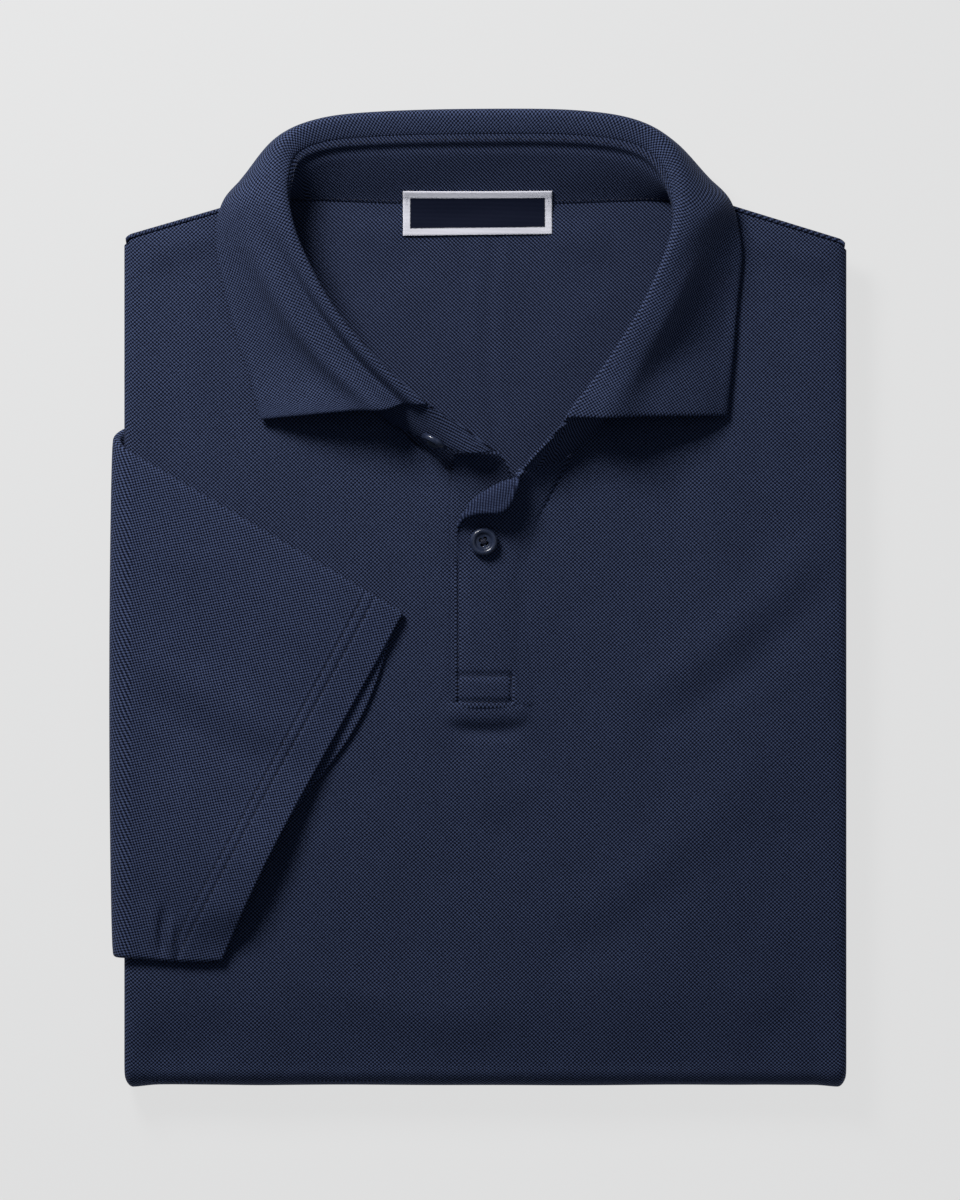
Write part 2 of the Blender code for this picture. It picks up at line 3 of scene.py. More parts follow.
import bpy
import numpy as np
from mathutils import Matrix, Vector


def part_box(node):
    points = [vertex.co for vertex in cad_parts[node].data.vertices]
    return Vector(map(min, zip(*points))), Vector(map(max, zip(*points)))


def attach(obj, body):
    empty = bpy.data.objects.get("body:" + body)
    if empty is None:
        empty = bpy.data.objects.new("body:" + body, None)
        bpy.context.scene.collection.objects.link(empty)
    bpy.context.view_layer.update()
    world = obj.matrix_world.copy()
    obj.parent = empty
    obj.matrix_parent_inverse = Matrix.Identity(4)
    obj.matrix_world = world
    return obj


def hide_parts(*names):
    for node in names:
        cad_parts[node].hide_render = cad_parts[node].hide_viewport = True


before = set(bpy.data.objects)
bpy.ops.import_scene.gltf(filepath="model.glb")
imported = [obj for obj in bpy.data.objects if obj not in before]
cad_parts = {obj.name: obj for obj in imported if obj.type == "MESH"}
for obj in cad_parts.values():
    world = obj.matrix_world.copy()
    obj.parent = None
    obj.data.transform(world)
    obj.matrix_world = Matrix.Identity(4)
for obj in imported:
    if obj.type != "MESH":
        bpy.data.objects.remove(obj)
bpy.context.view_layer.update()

# A short-sleeved polo shirt in navy cotton pique, folded flat and lying face up.
# X runs across the shirt, Y from the tail fold to the collar, Z up. Tables are in millimetres.

up = np.array([0.0, 0.0, 1.0])


# small tools: grids, curves and meshes

def hexColour(text):  # sRGB hex to linear
    values = np.array([int(text[i:i + 2], 16) for i in (1, 3, 5)]) / 255
    linear = np.where(values <= 0.04045, values / 12.92, ((values + 0.055) / 1.055) ** 2.4)
    return (*linear.tolist(), 1.0)


def unit(v):
    return v / np.maximum(np.linalg.norm(v, axis=-1, keepdims=True), 1e-9)


def ease(t):  # 0 to 1 with level ends
    t = np.clip(t, 0, 1)
    return t * t * (3 - 2 * t)


def bell(d, width):
    return np.exp(-(d / width) ** 2)


# a Catmull-Rom curve through the rows of a table, read at the places t, counted in rows
def curveAt(rows, t):
    rows = np.asarray(rows, float)
    last = len(rows) - 1
    i = np.clip(t.astype(int), 0, last - 1)
    f = (t - i)[:, None]
    before, after = rows[np.maximum(i - 1, 0)], rows[np.minimum(i + 2, last)]
    start, end = rows[i], rows[i + 1]
    return (start * (2 * f**3 - 3 * f**2 + 1) + (end - before) / 2 * (f**3 - 2 * f**2 + f)
            + end * (3 * f**2 - 2 * f**3) + (after - start) / 2 * (f**3 - f**2))


# points at the shares t along cubics, one cubic for each row of control points
def bezier(p0, p1, p2, p3, t):
    t = t[None, :, None]
    p0, p1, p2, p3 = (p[:, None, :] for p in (p0, p1, p2, p3))
    return p0 * (1 - t)**3 + 3 * p1 * t * (1 - t)**2 + 3 * p2 * t**2 * (1 - t) + p3 * t**3


# even shares from 0 to 1, with three more near each end so that a cut edge can be rounded
def edged(count, length, reach=0.7):
    near = np.array([0, 0.1, 0.4, 1.0]) * reach / length
    return np.concatenate([near, np.linspace(near[-1], 1 - near[-1], count)[1:-1], 1 - near[::-1]])


# the square to both directions of a grid, turned to the side that looks along facing
def normalsOf(grid, facing=up):
    n = unit(np.cross(np.gradient(grid, axis=0), np.gradient(grid, axis=1)))
    return n if (n * facing).sum() > 0 else -n


# lengths along the two directions of a grid, each counted from its first row or column
def lengths(grid):
    alongRows = np.linalg.norm(np.diff(grid, axis=0), axis=2)
    acrossRows = np.linalg.norm(np.diff(grid, axis=1), axis=2)
    v = np.concatenate([np.zeros((1, grid.shape[1])), np.cumsum(alongRows, axis=0)])
    u = np.concatenate([np.zeros((grid.shape[0], 1)), np.cumsum(acrossRows, axis=1)], axis=1)
    return u, v


# the flat pattern of a bent strip: its guide line keeps its length and turns only to the heading, and each
# line across is laid straight at its own angle to the guide, so the weave keeps its shape where it fans out
def stripWeave(grid, guide, first, heading, way=1):
    u, v = lengths(grid)
    along = unit(np.gradient(grid[:, guide], axis=0))
    across = unit(grid[:, -1] - grid[:, first])
    lean = heading + way * np.arccos(np.clip((along * across).sum(axis=1), -1, 1))
    step = np.gradient(v[:, guide])[:, None]
    centre = np.cumsum(np.stack([np.cos(heading), np.sin(heading)], 1) * step, axis=0)
    outward = np.stack([np.cos(lean), np.sin(lean)], 1)
    return centre[:, None] + outward[:, None] * (u - u[:, guide:guide + 1])[..., None]


# soft ridges (or troughs, where height is negative) along straight lines; each fades at both ends
def creases(x, y, table):
    total = np.zeros(np.broadcast(x, y).shape)
    for x0, y0, x1, y1, width, height in table:
        run = np.array([x1 - x0, y1 - y0])
        length = math.hypot(*run)
        t = ((x - x0) * run[0] + (y - y0) * run[1]) / length**2
        bow = 0.05 * length * np.sin(math.pi * np.clip(t, 0, 1))
        d = ((x - x0) * -run[1] + (y - y0) * run[0]) / length + bow
        fade = ease((t + 0.15) / 0.45) * ease((1.15 - t) / 0.45)
        total = total + height * bell(d, width * (0.8 + 0.4 * np.clip(t, 0, 1))) * fade
    return total


# one mesh from points in millimetres and faces, face out, with its cloth measured in millimetres as a UV map
def addMesh(name, points, faces, material, weave=None):
    points = np.asarray(points, float).reshape(-1, 3) / 1000
    quads = np.asarray([face for face in faces if len(face) == 4])
    centre = points.mean(axis=0)
    a, b, c, d = (points[quads[:, k]] - centre for k in range(4))
    volume = np.einsum("ij,ij->", a, np.cross(b, c)) + np.einsum("ij,ij->", a, np.cross(c, d))
    if volume < 0:
        faces = [face[::-1] for face in faces]
    mesh = bpy.data.meshes.new(name)
    mesh.from_pydata(points.tolist(), [], [list(map(int, face)) for face in faces])
    if weave is not None:
        corner = np.empty(len(mesh.loops), np.int32)
        mesh.loops.foreach_get("vertex_index", corner)
        layer = mesh.uv_layers.new(name="weave")
        layer.data.foreach_set("uv", np.asarray(weave, np.float32).reshape(-1, 2)[corner].ravel())
    mesh.shade_smooth()
    for each in material if isinstance(material, list) else [material]:
        mesh.materials.append(each)
    made = bpy.data.objects.new(name, mesh)
    bpy.context.scene.collection.objects.link(made)
    return made


# a wall about a grid of mid points: two faces at mid + n t/2 and mid - n t/2, where t is the wall,
# thinned over its last half thickness so that each free edge is round; wrapped grids join end to end
def clothShell(name, mid, wall, weave, material, facing=up, normals=None):
    n = normalsOf(mid, facing) if normals is None else normals
    u, v = lengths(mid)
    edge = np.minimum(np.minimum(u, u[:, -1:] - u), np.minimum(v, v[-1:] - v))
    wall = np.broadcast_to(wall, edge.shape)
    thin = np.sqrt(np.maximum(1 - (1 - np.clip(edge / (wall / 2), 0, 1))**2, 0.06))
    offset = n * (wall * thin / 2)[..., None]
    rows, columns = mid.shape[:2]
    top = np.arange(rows * columns).reshape(rows, columns)
    under = top + rows * columns
    upper = np.stack([top[:-1, :-1], top[:-1, 1:], top[1:, 1:], top[1:, :-1]], -1).reshape(-1, 4)
    lower = np.stack([under[:-1, :-1], under[1:, :-1], under[1:, 1:], under[:-1, 1:]], -1).reshape(-1, 4)
    rim = np.concatenate([top[0], top[1:, -1], top[-1, -2::-1], top[-2:0:-1, 0]])
    after = np.roll(rim, -1)
    edgeFaces = np.stack([after, rim, rim + rows * columns, after + rows * columns], -1)
    points = np.concatenate([(mid + offset).reshape(-1, 3), (mid - offset).reshape(-1, 3)])
    faces = np.concatenate([upper, lower, edgeFaces])
    weave = np.concatenate([weave.reshape(-1, 2)] * 2)
    return addMesh(name, points, faces, material, weave)


# the point and the square to the cloth at fractional places i, j of a grid, moved off it by lift
def onGrid(grid, normals, i, j, lift=0.0):
    i, j = np.broadcast_arrays(np.asarray(i, float), np.asarray(j, float))
    i0 = np.clip(i.astype(int), 0, grid.shape[0] - 2)
    j0 = np.clip(j.astype(int), 0, grid.shape[1] - 2)
    fi, fj = (i - i0)[..., None], (j - j0)[..., None]

    def blended(values):
        low = values[i0, j0] * (1 - fj) + values[i0, j0 + 1] * fj
        high = values[i0 + 1, j0] * (1 - fj) + values[i0 + 1, j0 + 1] * fj
        return low * (1 - fi) + high * fi

    n = unit(blended(normals))
    return blended(grid) + n * lift, n


# the faces between closed rings of points, and one at each end
def ringFaces(rings, sides):
    index = np.arange(rings * sides).reshape(rings, sides)
    nextOne = np.roll(index, -1, axis=1)
    faces = np.stack([index[:-1], nextOne[:-1], nextOne[1:], index[1:]], -1).reshape(-1, 4).tolist()
    return faces + [index[0, ::-1].tolist(), index[-1].tolist()]


def joined(parts):  # several (points, faces) as one
    points, faces, count = [], [], 0
    for p, f in parts:
        points.append(p)
        faces += [[v + count for v in face] for face in f]
        count += len(p)
    return np.concatenate(points), faces


# stitches: spindles of thread along a path, one each pitch, bowed up along the normal and sunk at both ends
def stitchesAlong(paths, pitch, length, radius):
    rings, sides = 5, 6
    a = np.linspace(-1, 1, rings)
    along, sunk = (a * length / 2)[:, None], (a**2 * radius * 1.1)[:, None]
    girth = radius * np.sqrt(1.05 - a**2)
    turn = np.arange(sides) * 2 * math.pi / sides
    parts = []
    for path, normal in paths:
        s = np.concatenate([[0], np.cumsum(np.linalg.norm(np.diff(path, axis=0), axis=1))])
        middle = np.arange(pitch / 2, s[-1], pitch)

        def at(values, where):
            return np.stack([np.interp(where, s, values[:, k]) for k in range(3)], -1)

        centre, n = at(path, middle), unit(at(normal, middle))
        t = unit(at(path, middle + length / 2) - at(path, middle - length / 2))
        b = np.cross(n, t)
        spine = centre[:, None] + t[:, None] * along - n[:, None] * sunk
        circle = b[:, None, None] * np.cos(turn)[:, None] + n[:, None, None] * np.sin(turn)[:, None]
        points = spine[:, :, None] + circle * girth[:, None, None]
        parts += [(each, ringFaces(rings, sides)) for each in points.reshape(len(middle), -1, 3)]
    return joined(parts)


# a round tube along a path, closed at both ends
def tubeAlong(path, radius, sides=8):
    path = np.asarray(path, float)
    t = unit(np.gradient(path, axis=0))
    side = unit(np.cross(t, np.array([0.31, 0.17, 0.93])))
    other = np.cross(t, side)
    turn = np.arange(sides) * 2 * math.pi / sides
    circle = side[:, None] * np.cos(turn)[:, None] + other[:, None] * np.sin(turn)[:, None]
    return (path[:, None] + radius * circle).reshape(-1, 3), ringFaces(len(path), sides)


# materials

def addNode(tree, kind, inputs=None, **settings):
    node = tree.nodes.new("ShaderNode" + kind)
    for key, value in settings.items():
        setattr(node, key, value)
    for socket, value in (inputs or {}).items():
        if isinstance(value, bpy.types.NodeSocket):
            tree.links.new(value, node.inputs[socket])
        else:
            node.inputs[socket].default_value = value
    return node


def newMaterial(name, **values):
    made = bpy.data.materials.new(name)
    made.use_nodes = True
    shader = made.node_tree.nodes["Principled BSDF"]
    for socket, value in values.items():
        shader.inputs[socket.replace("_", " ")].default_value = value
    return made, made.node_tree, shader


pique = {
    # wale and course spacing of the cells, in mm; a cell is two loops wide, and every other row is offset
    "cellWide": 1.61,
    "cellTall": 1.50,
    "reliefMm": 0.16,
    # the darkest and lightest tones below are painted shade in the knit's pits and painted light on its
    # crowns
    "pitShade": "#030613",
    "ground": "#1f263e",
    "crownLight": "#475271",
}


# Cotton pique: combed cotton, weft knitted with tuck loops, so that pits and raised cells alternate in a
# diagonal lattice. It is matt, with a slight bloom of fibre at edges; its colour holds painted shade in the
# pits and painted light on the crowns.
# lattice = w1 sin(2 pi (u/wide + v/tall)) + w2 sin(2 pi (-u/wide + v/tall)), turned by the cloth's own grain
def piqueMaterial(name, shade=1.0, grain=0.0, weights=(0.5, 0.5), contrast=2.2, sheen=0.06):
    made, tree, shader = newMaterial(
        name, Roughness=0.86, Sheen_Weight=sheen, Sheen_Roughness=0.45, Sheen_Tint=hexColour("#8f9abc"))
    shader.inputs["Specular IOR Level"].default_value = 0.14
    cloth = addNode(tree, "UVMap", uv_map="weave").outputs["UV"]
    turned = addNode(tree, "Mapping",
                     {"Vector": cloth, "Rotation": (0, 0, math.radians(grain))}).outputs["Vector"]
    wobble = addNode(tree, "TexNoise",
                     {"Vector": turned, "Scale": 0.06, "Detail": 2.0}).outputs["Color"]
    wobble = addNode(tree, "VectorMath", {0: wobble, 1: (1.0, 1.0, 0)}, operation="MULTIPLY").outputs[0]
    turned = addNode(tree, "VectorMath", {0: turned, 1: wobble}, operation="ADD").outputs[0]
    waves = []
    for direction, weight in zip((1, -1), weights):
        pull = (direction * 2 * math.pi / pique["cellWide"], 2 * math.pi / pique["cellTall"], 0)
        phase = addNode(tree, "VectorMath", {0: turned, 1: pull}, operation="DOT_PRODUCT").outputs["Value"]
        wave = addNode(tree, "Math", {0: phase}, operation="SINE").outputs[0]
        waves.append(addNode(tree, "Math", {0: wave, 1: weight}, operation="MULTIPLY").outputs[0])
    lattice = addNode(tree, "Math", {0: waves[0], 1: waves[1]}, operation="ADD").outputs[0]
    # yarn unevenness of about half a millimetre, and a slow mottle of about 15 mm
    yarn = addNode(tree, "TexNoise", {"Vector": turned, "Scale": 1.7, "Detail": 2.0}).outputs["Fac"]
    yarn = addNode(tree, "Math", {0: yarn, 1: 0.5}, operation="SUBTRACT").outputs[0]
    height = addNode(tree, "Math", {0: yarn, 1: 0.9, 2: lattice}, operation="MULTIPLY_ADD").outputs[0]
    # the lattice sets the colour from painted shade in the pits to painted light on the crowns; contrast sets
    # how strong
    share = addNode(tree, "Math", {0: height, 1: 0.5 * contrast, 2: 0.5},
                    operation="MULTIPLY_ADD", use_clamp=True).outputs[0]
    ramp = addNode(tree, "ValToRGB", {"Fac": share})
    stops = ramp.color_ramp.elements
    stops.new(0.5)
    for stop, place, tone in zip(stops, (0.12, 0.5, 0.92), ("pitShade", "ground", "crownLight")):
        stop.position = place
        stop.color = hexColour(pique[tone])
    # shade scales the whole colour: above 1 it is painted light, below 1 painted shade, on copies of one
    # cloth
    mottle = addNode(tree, "TexNoise", {"Vector": cloth, "Scale": 0.07, "Detail": 3.0}).outputs["Fac"]
    mottle = addNode(tree, "Math", {0: mottle, 1: 0.22 * shade, 2: 0.89 * shade},
                     operation="MULTIPLY_ADD").outputs[0]
    colour = addNode(tree, "VectorMath", {0: ramp.outputs["Color"], "Scale": mottle}, operation="SCALE")
    tree.links.new(colour.outputs[0], shader.inputs["Base Color"])
    bump = addNode(tree, "Bump", {"Height": height, "Strength": 0.35,
                                            "Distance": pique["reliefMm"] / 1000})
    tree.links.new(bump.outputs[0], shader.inputs["Normal"])
    return made


# Corespun polyester sewing thread, two-ply, so each stitch has a fine twist and a soft gloss; a tone darker
# than the cloth is painted shade in the stitch grooves.
def threadMaterial(name, tone):
    made, tree, shader = newMaterial(name, Roughness=0.55, Sheen_Weight=0.1)
    spot = addNode(tree, "TexCoord").outputs["Object"]
    twist = addNode(tree, "TexWave", {"Vector": spot, "Scale": 900.0, "Distortion": 0.6},
                    bands_direction="DIAGONAL").outputs["Fac"]
    ramp = addNode(tree, "ValToRGB", {"Fac": twist})
    ramp.color_ramp.elements[0].color = tuple(0.6 * c for c in hexColour(tone)[:3]) + (1.0,)
    ramp.color_ramp.elements[1].color = hexColour(tone)
    tree.links.new(ramp.outputs["Color"], shader.inputs["Base Color"])
    bump = addNode(tree, "Bump", {"Height": twist, "Strength": 0.4, "Distance": 0.00008})
    tree.links.new(bump.outputs[0], shader.inputs["Normal"])
    return made


labelTones = {"ground": "#0e1428", "border": "#eceaf2", "borderMm": 2.9, "pickMm": 0.55}


# Damask label: polyester satin, jacquard woven, so it is smoother and glossier than the shirt, with fine ribs
# across it. The border is white weft floats; picks are about 0.15 mm and drawn at 0.55 mm so that they show.
def labelMaterial(width, height):
    made, tree, shader = newMaterial("damask woven polyester", Roughness=0.75, Specular_IOR_Level=0.12)
    cloth = addNode(tree, "UVMap", uv_map="weave").outputs["UV"]
    place = addNode(tree, "SeparateXYZ", {0: cloth}).outputs
    edges = []
    for axis, span in (("X", width), ("Y", height)):
        centred = addNode(tree, "Math", {0: place[axis], 1: span / 2}, operation="SUBTRACT").outputs[0]
        far = addNode(tree, "Math", {0: centred}, operation="ABSOLUTE").outputs[0]
        edges.append(addNode(tree, "Math", {0: span / 2, 1: far}, operation="SUBTRACT").outputs[0])
    inset = addNode(tree, "Math", {0: edges[0], 1: edges[1]}, operation="MINIMUM").outputs[0]
    ribs = addNode(tree, "Math", {0: place["Y"], 1: 2 * math.pi / labelTones["pickMm"]},
                   operation="MULTIPLY").outputs[0]
    ribs = addNode(tree, "Math", {0: ribs}, operation="SINE").outputs[0]
    fray = addNode(tree, "TexNoise", {"Vector": cloth, "Scale": 2.2, "Detail": 2.0}).outputs["Fac"]
    step = addNode(tree, "Math", {0: fray, 1: 0.35, 2: inset}, operation="MULTIPLY_ADD").outputs[0]
    inside = addNode(tree, "MapRange", {"Value": step, "From Min": labelTones["borderMm"],
                                        "From Max": labelTones["borderMm"] + 0.35}).outputs[0]
    tone = addNode(tree, "Mix", {
        "Factor": inside, 6: hexColour(labelTones["border"]), 7: hexColour(labelTones["ground"])},
        data_type="RGBA").outputs[2]
    shade = addNode(tree, "Math", {0: ribs, 1: 0.07, 2: 0.93}, operation="MULTIPLY_ADD").outputs[0]
    colour = addNode(tree, "VectorMath", {0: tone, "Scale": shade}, operation="SCALE").outputs[0]
    tree.links.new(colour, shader.inputs["Base Color"])
    bump = addNode(tree, "Bump", {"Height": ribs, "Strength": 0.4, "Distance": 0.00007})
    tree.links.new(bump.outputs[0], shader.inputs["Normal"])
    return made


# Cast polyester button: dyed in the mass, turned and tumble polished, so it has a clear gloss with soft
# scratches, a faint cloud in its colour and small bright lines along its rims.
def buttonMaterial():
    made, tree, shader = newMaterial("cast polyester, polished", Roughness=0.3, IOR=1.55, Coat_Weight=0.35,
                                     Coat_Roughness=0.12)
    spot = addNode(tree, "TexCoord").outputs["Object"]
    cloud = addNode(tree, "TexNoise", {"Vector": spot, "Scale": 420.0, "Detail": 3.0}).outputs["Fac"]
    ramp = addNode(tree, "ValToRGB", {"Fac": cloud})
    ramp.color_ramp.elements[0].position = 0.3
    ramp.color_ramp.elements[0].color = hexColour("#20273b")
    ramp.color_ramp.elements[1].position = 0.75
    ramp.color_ramp.elements[1].color = hexColour("#333b52")
    tree.links.new(ramp.outputs["Color"], shader.inputs["Base Color"])
    scratch = addNode(tree, "TexNoise", {"Vector": spot, "Scale": 2600.0, "Detail": 2.0}).outputs["Fac"]
    rough = addNode(tree, "Math", {0: scratch, 1: 0.25, 2: 0.16}, operation="MULTIPLY_ADD").outputs[0]
    tree.links.new(rough, shader.inputs["Roughness"])
    return made


# one navy cloth throughout: shade above 1 (placket facing, collar leaf, sleeve) is painted light, below 1
# (wrong side, folded layers, stand) is painted shade
bodyCloth = piqueMaterial("cotton pique, body")
placketCloth = piqueMaterial("cotton pique, placket")
facingCloth = piqueMaterial("cotton pique, back of the placket", shade=1.15, grain=52, weights=(0.6, 0.2),
                            contrast=0.8)
innerCloth = piqueMaterial("cotton pique, wrong side", shade=0.95, weights=(0.62, 0.34), contrast=1.3)
hiddenCloth = piqueMaterial("cotton pique, folded in", shade=0.85)
leafCloth = piqueMaterial("cotton pique, collar leaf", shade=1.06)
standCloth = piqueMaterial("cotton pique, collar stand", shade=0.95, weights=(0.68, 0.3), contrast=1.45)
sleeveCloth = piqueMaterial("cotton pique, sleeve", shade=1.12)
# the navy thread is darker than the cloth: painted shade of the stitch grooves
shadedNavyThread = threadMaterial("corespun polyester thread, navy", "#181e38")
whiteThread = threadMaterial("corespun polyester thread, white", "#d9d8e2")
print("materials ready")

# stage, light and camera

view = {"tallMm": 492.0, "lens": 200.0, "sensor": 36.0}  # how much of the surface is seen, top to foot
frameHeight = view["tallMm"] / 1000
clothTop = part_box("front")[1][2]

cameraData = bpy.data.cameras.new("camera")
cameraData.lens = view["lens"]
cameraData.sensor_fit = "VERTICAL"
cameraData.sensor_height = view["sensor"]
cameraData.clip_end = 20
camera = bpy.data.objects.new("camera", cameraData)
camera.location = (0, 0, clothTop + frameHeight * view["lens"] / view["sensor"])
bpy.context.scene.collection.objects.link(camera)
bpy.context.scene.camera = camera
bpy.context.scene.view_settings.view_transform = "Standard"

stage = {"floorTone": "#4c4c4c", "floorGlow": 0.695, "room": 0.11, "roomTint": (0.6, 0.77, 1.0, 1)}
floorMaterial, _, floorShader = newMaterial(
    "matt paper sweep", Roughness=0.95, Emission_Strength=stage["floorGlow"], Emission_Color=(1, 1, 1, 1))
floorShader.inputs["Base Color"].default_value = hexColour(stage["floorTone"])
floorPoints = [(-4000, -4000, -0.4), (4000, -4000, -0.4), (4000, 4000, -0.4), (-4000, 4000, -0.4)]
floorMesh = bpy.data.meshes.new("floor")
floorMesh.from_pydata([tuple(c / 1000 for c in p) for p in floorPoints], [], [(0, 1, 2, 3)])
floorMesh.materials.append(floorMaterial)
floor = bpy.data.objects.new("floor", floorMesh)
bpy.context.scene.collection.objects.link(floor)

lights = [
    # name, place, power in watts, size in metres, aimed at
    ("key softbox", (-0.45, 0.76, 0.66), 11.8, 0.36, (0.0, 0.02, 0.02)),
    ("fill panel", (0.9, 0.2, 1.3), 1.1, 1.2, (0.0, 0.0, 0.0)),
]
for lightName, place, power, size, aim in lights:
    lightData = bpy.data.lights.new(lightName, "AREA")
    lightData.energy = power
    lightData.size = size
    light = bpy.data.objects.new(lightName, lightData)
    light.location = place
    bpy.context.scene.collection.objects.link(light)
    toAim = np.array(aim) - np.array(place)
    light.rotation_euler = (math.atan2(math.hypot(toAim[0], toAim[1]), -toAim[2]), 0,
                            math.atan2(toAim[1], toAim[0]) - math.pi / 2)
world = bpy.data.worlds.new("soft room")
world.use_nodes = True
background = world.node_tree.nodes["Background"]
background.inputs["Color"].default_value = stage["roomTint"]
background.inputs["Strength"].default_value = stage["room"]
bpy.context.scene.world = world
print("stage, lights and camera ready")

# sizes of the folded body, from the frame and the maker's measures

frontLow, frontHigh = (np.array(corner) * 1000 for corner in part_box("front"))
body = {
    "wall": 1.3,
    "halfStack": 6.4,  # layers in front of, and behind, the middle of the fold
    "crevice": 2.0,
    "lip": 16.0,
    "shoulderSlope": 0.29,
    "leftCornerY": 149.4,
    "rightCornerY": 147.4,
    "cornerRadius": 3.5,
    "footCorner": 4.0,
    "forwardSeam": 2.1,
    "tailHemY": 137.0,
}
body["left"], body["right"], body["foot"] = frontLow[0] - 0.15, frontHigh[0] + 0.15, frontLow[1] - 0.15
midZ = body["halfStack"] + body["crevice"]
frontTop = 2 * midZ
roll = body["halfStack"] / 2
foldY = body["foot"] + midZ
innerStack = body["halfStack"] - body["wall"] - 0.3
backTop = midZ + body["crevice"] + innerStack
neckline = np.array([
    # x, y of the seam between body and collar
    (-85.5, 164.0), (-84.8, 154.0), (-82.5, 138.0), (-73.0, 114.0), (-55.0, 90.0), (-35.0, 71.0),
    (-16.0, 55.5), (-2.0, 46.0), (14.0, 41.0), (26.0, 48.5), (38.0, 64.0), (52.0, 81.0),
    (69.0, 103.0), (81.0, 125.0), (86.5, 146.0), (87.5, 164.0),
])


def shoulderY(x):  # two slopes down to rounded corners
    left = body["leftCornerY"] + body["shoulderSlope"] * (x - body["left"])
    right = body["rightCornerY"] + body["shoulderSlope"] * 1.06 * (body["right"] - x)
    r = body["cornerRadius"]
    into = np.clip(np.minimum(x - body["left"], body["right"] - x), 0, r)
    return np.minimum(left, right) - r + np.sqrt(r**2 - (r - into)**2)


def frontTopY(x):  # the forward shoulder seams, and the neckline between them
    inside = (x >= neckline[0, 0]) & (x <= neckline[-1, 0])
    return np.where(inside, np.interp(x, neckline[:, 0], neckline[:, 1]), shoulderY(x) - body["forwardSeam"])


# front panel

frontCreases = [
    # x0, y0, x1, y1, width, height
    (62.0, -40.0, 146.0, 32.0, 9.0, 0.9),
    (70.0, -56.0, 148.0, 14.0, 8.0, -0.7),
    (42.0, -130.0, 116.0, -62.0, 13.0, 0.9),
    (30.0, -150.0, 96.0, -98.0, 11.0, -0.6),
    (-6.0, -64.0, 14.0, -86.0, 11.0, 0.8),
    (-15.0, -51.5, 20.0, -52.0, 3.4, -1.1),
    (120.0, -90.0, 136.0, -100.0, 4.0, -0.5),
    (92.0, 60.0, 108.0, -22.0, 10.0, 0.6),
    (-120.0, 128.0, -112.0, 80.0, 8.0, 0.5),
    (-62.0, -160.0, 20.0, -172.0, 9.0, 0.6),
    (112.0, -190.0, 142.0, -140.0, 12.0, -0.9),
    (-140.0, -186.0, -96.0, -176.0, 12.0, -0.8),
    (-104.0, 150.0, -140.0, 139.0, 6.0, 0.9),
    (108.0, 151.0, 146.0, 138.0, 6.0, 1.0),
    (40.0, 20.0, 56.0, -30.0, 12.0, 0.5),
]
tailCreases = [
    (-120.0, -150.0, -40.0, -90.0, 10.0, 0.4),
    (30.0, -120.0, 118.0, -40.0, 12.0, 0.4),
    (-90.0, 30.0, -20.0, 96.0, 11.0, 0.4),
    (60.0, 20.0, 120.0, 90.0, 9.0, 0.4),
]


# across: lip, roll, face, roll, lip at the depth n; along: (x, y, midZ + crevice + n) from the top edge to
# the fold, an arc of radius crevice + n about (foldY, midZ), then back to the tail hem at midZ - crevice - n
def frontGrid():
    r = roll - body["wall"] / 2
    turn = np.linspace(-math.pi / 2, math.pi / 2, 13)[1:-1]
    leftRoll = np.stack([body["left"] + roll - r * np.cos(turn), roll + r * np.sin(turn)], 1)
    rightRoll = np.stack([body["right"] - roll + r * np.cos(turn), roll + r * np.sin(turn)], 1)[::-1]
    lipSteps = edged(8, body["lip"] - roll)[:-3]
    lipX = body["left"] + body["lip"] + (roll - body["lip"]) * lipSteps
    faceX = np.linspace(body["left"] + roll, body["right"] - roll, 136)
    section = np.concatenate([
        np.stack([lipX, np.full(len(lipX), roll - r)], 1), leftRoll,
        np.stack([faceX, np.full(len(faceX), roll + r)], 1), rightRoll,
        np.stack([body["left"] + body["right"] - lipX[::-1], np.full(len(lipX), roll - r)], 1),
    ])
    x, depth = section.T
    top = frontTopY(x)
    corner = np.clip(body["footCorner"] - np.minimum(x - body["left"], body["right"] - x), 0, None)
    foldAt = foldY + body["footCorner"] - np.sqrt(body["footCorner"]**2 - corner**2)
    radius = body["crevice"] + depth
    shares = edged(138, 340.0)[:-3]
    y = top + (foldAt - top) * shares[:, None]
    flat = np.stack([np.broadcast_to(x, y.shape), y, np.broadcast_to(midZ + radius, y.shape)], -1)
    angle = np.linspace(0, math.pi, 16)[:, None]
    bend = np.stack([np.broadcast_to(x, (16, len(x))), foldAt - radius * np.sin(angle),
                     midZ + radius * np.cos(angle)], -1)
    back = edged(34, 330.0)[4:, None]
    tailY = foldAt + (body["tailHemY"] - foldAt) * back
    tail = np.stack([np.broadcast_to(x, tailY.shape), tailY, np.broadcast_to(midZ - radius, tailY.shape)], -1)
    grid = np.concatenate([flat, bend, tail])
    onTop = np.arange(len(grid)) < len(flat)
    return grid, np.broadcast_to(depth, grid.shape[:2]), onTop


rising = {"right": 1.25, "left": 1.15, "foot": 2.3, "sideSink": 1.0, "foldSink": 2.9, "creases": 1.35}


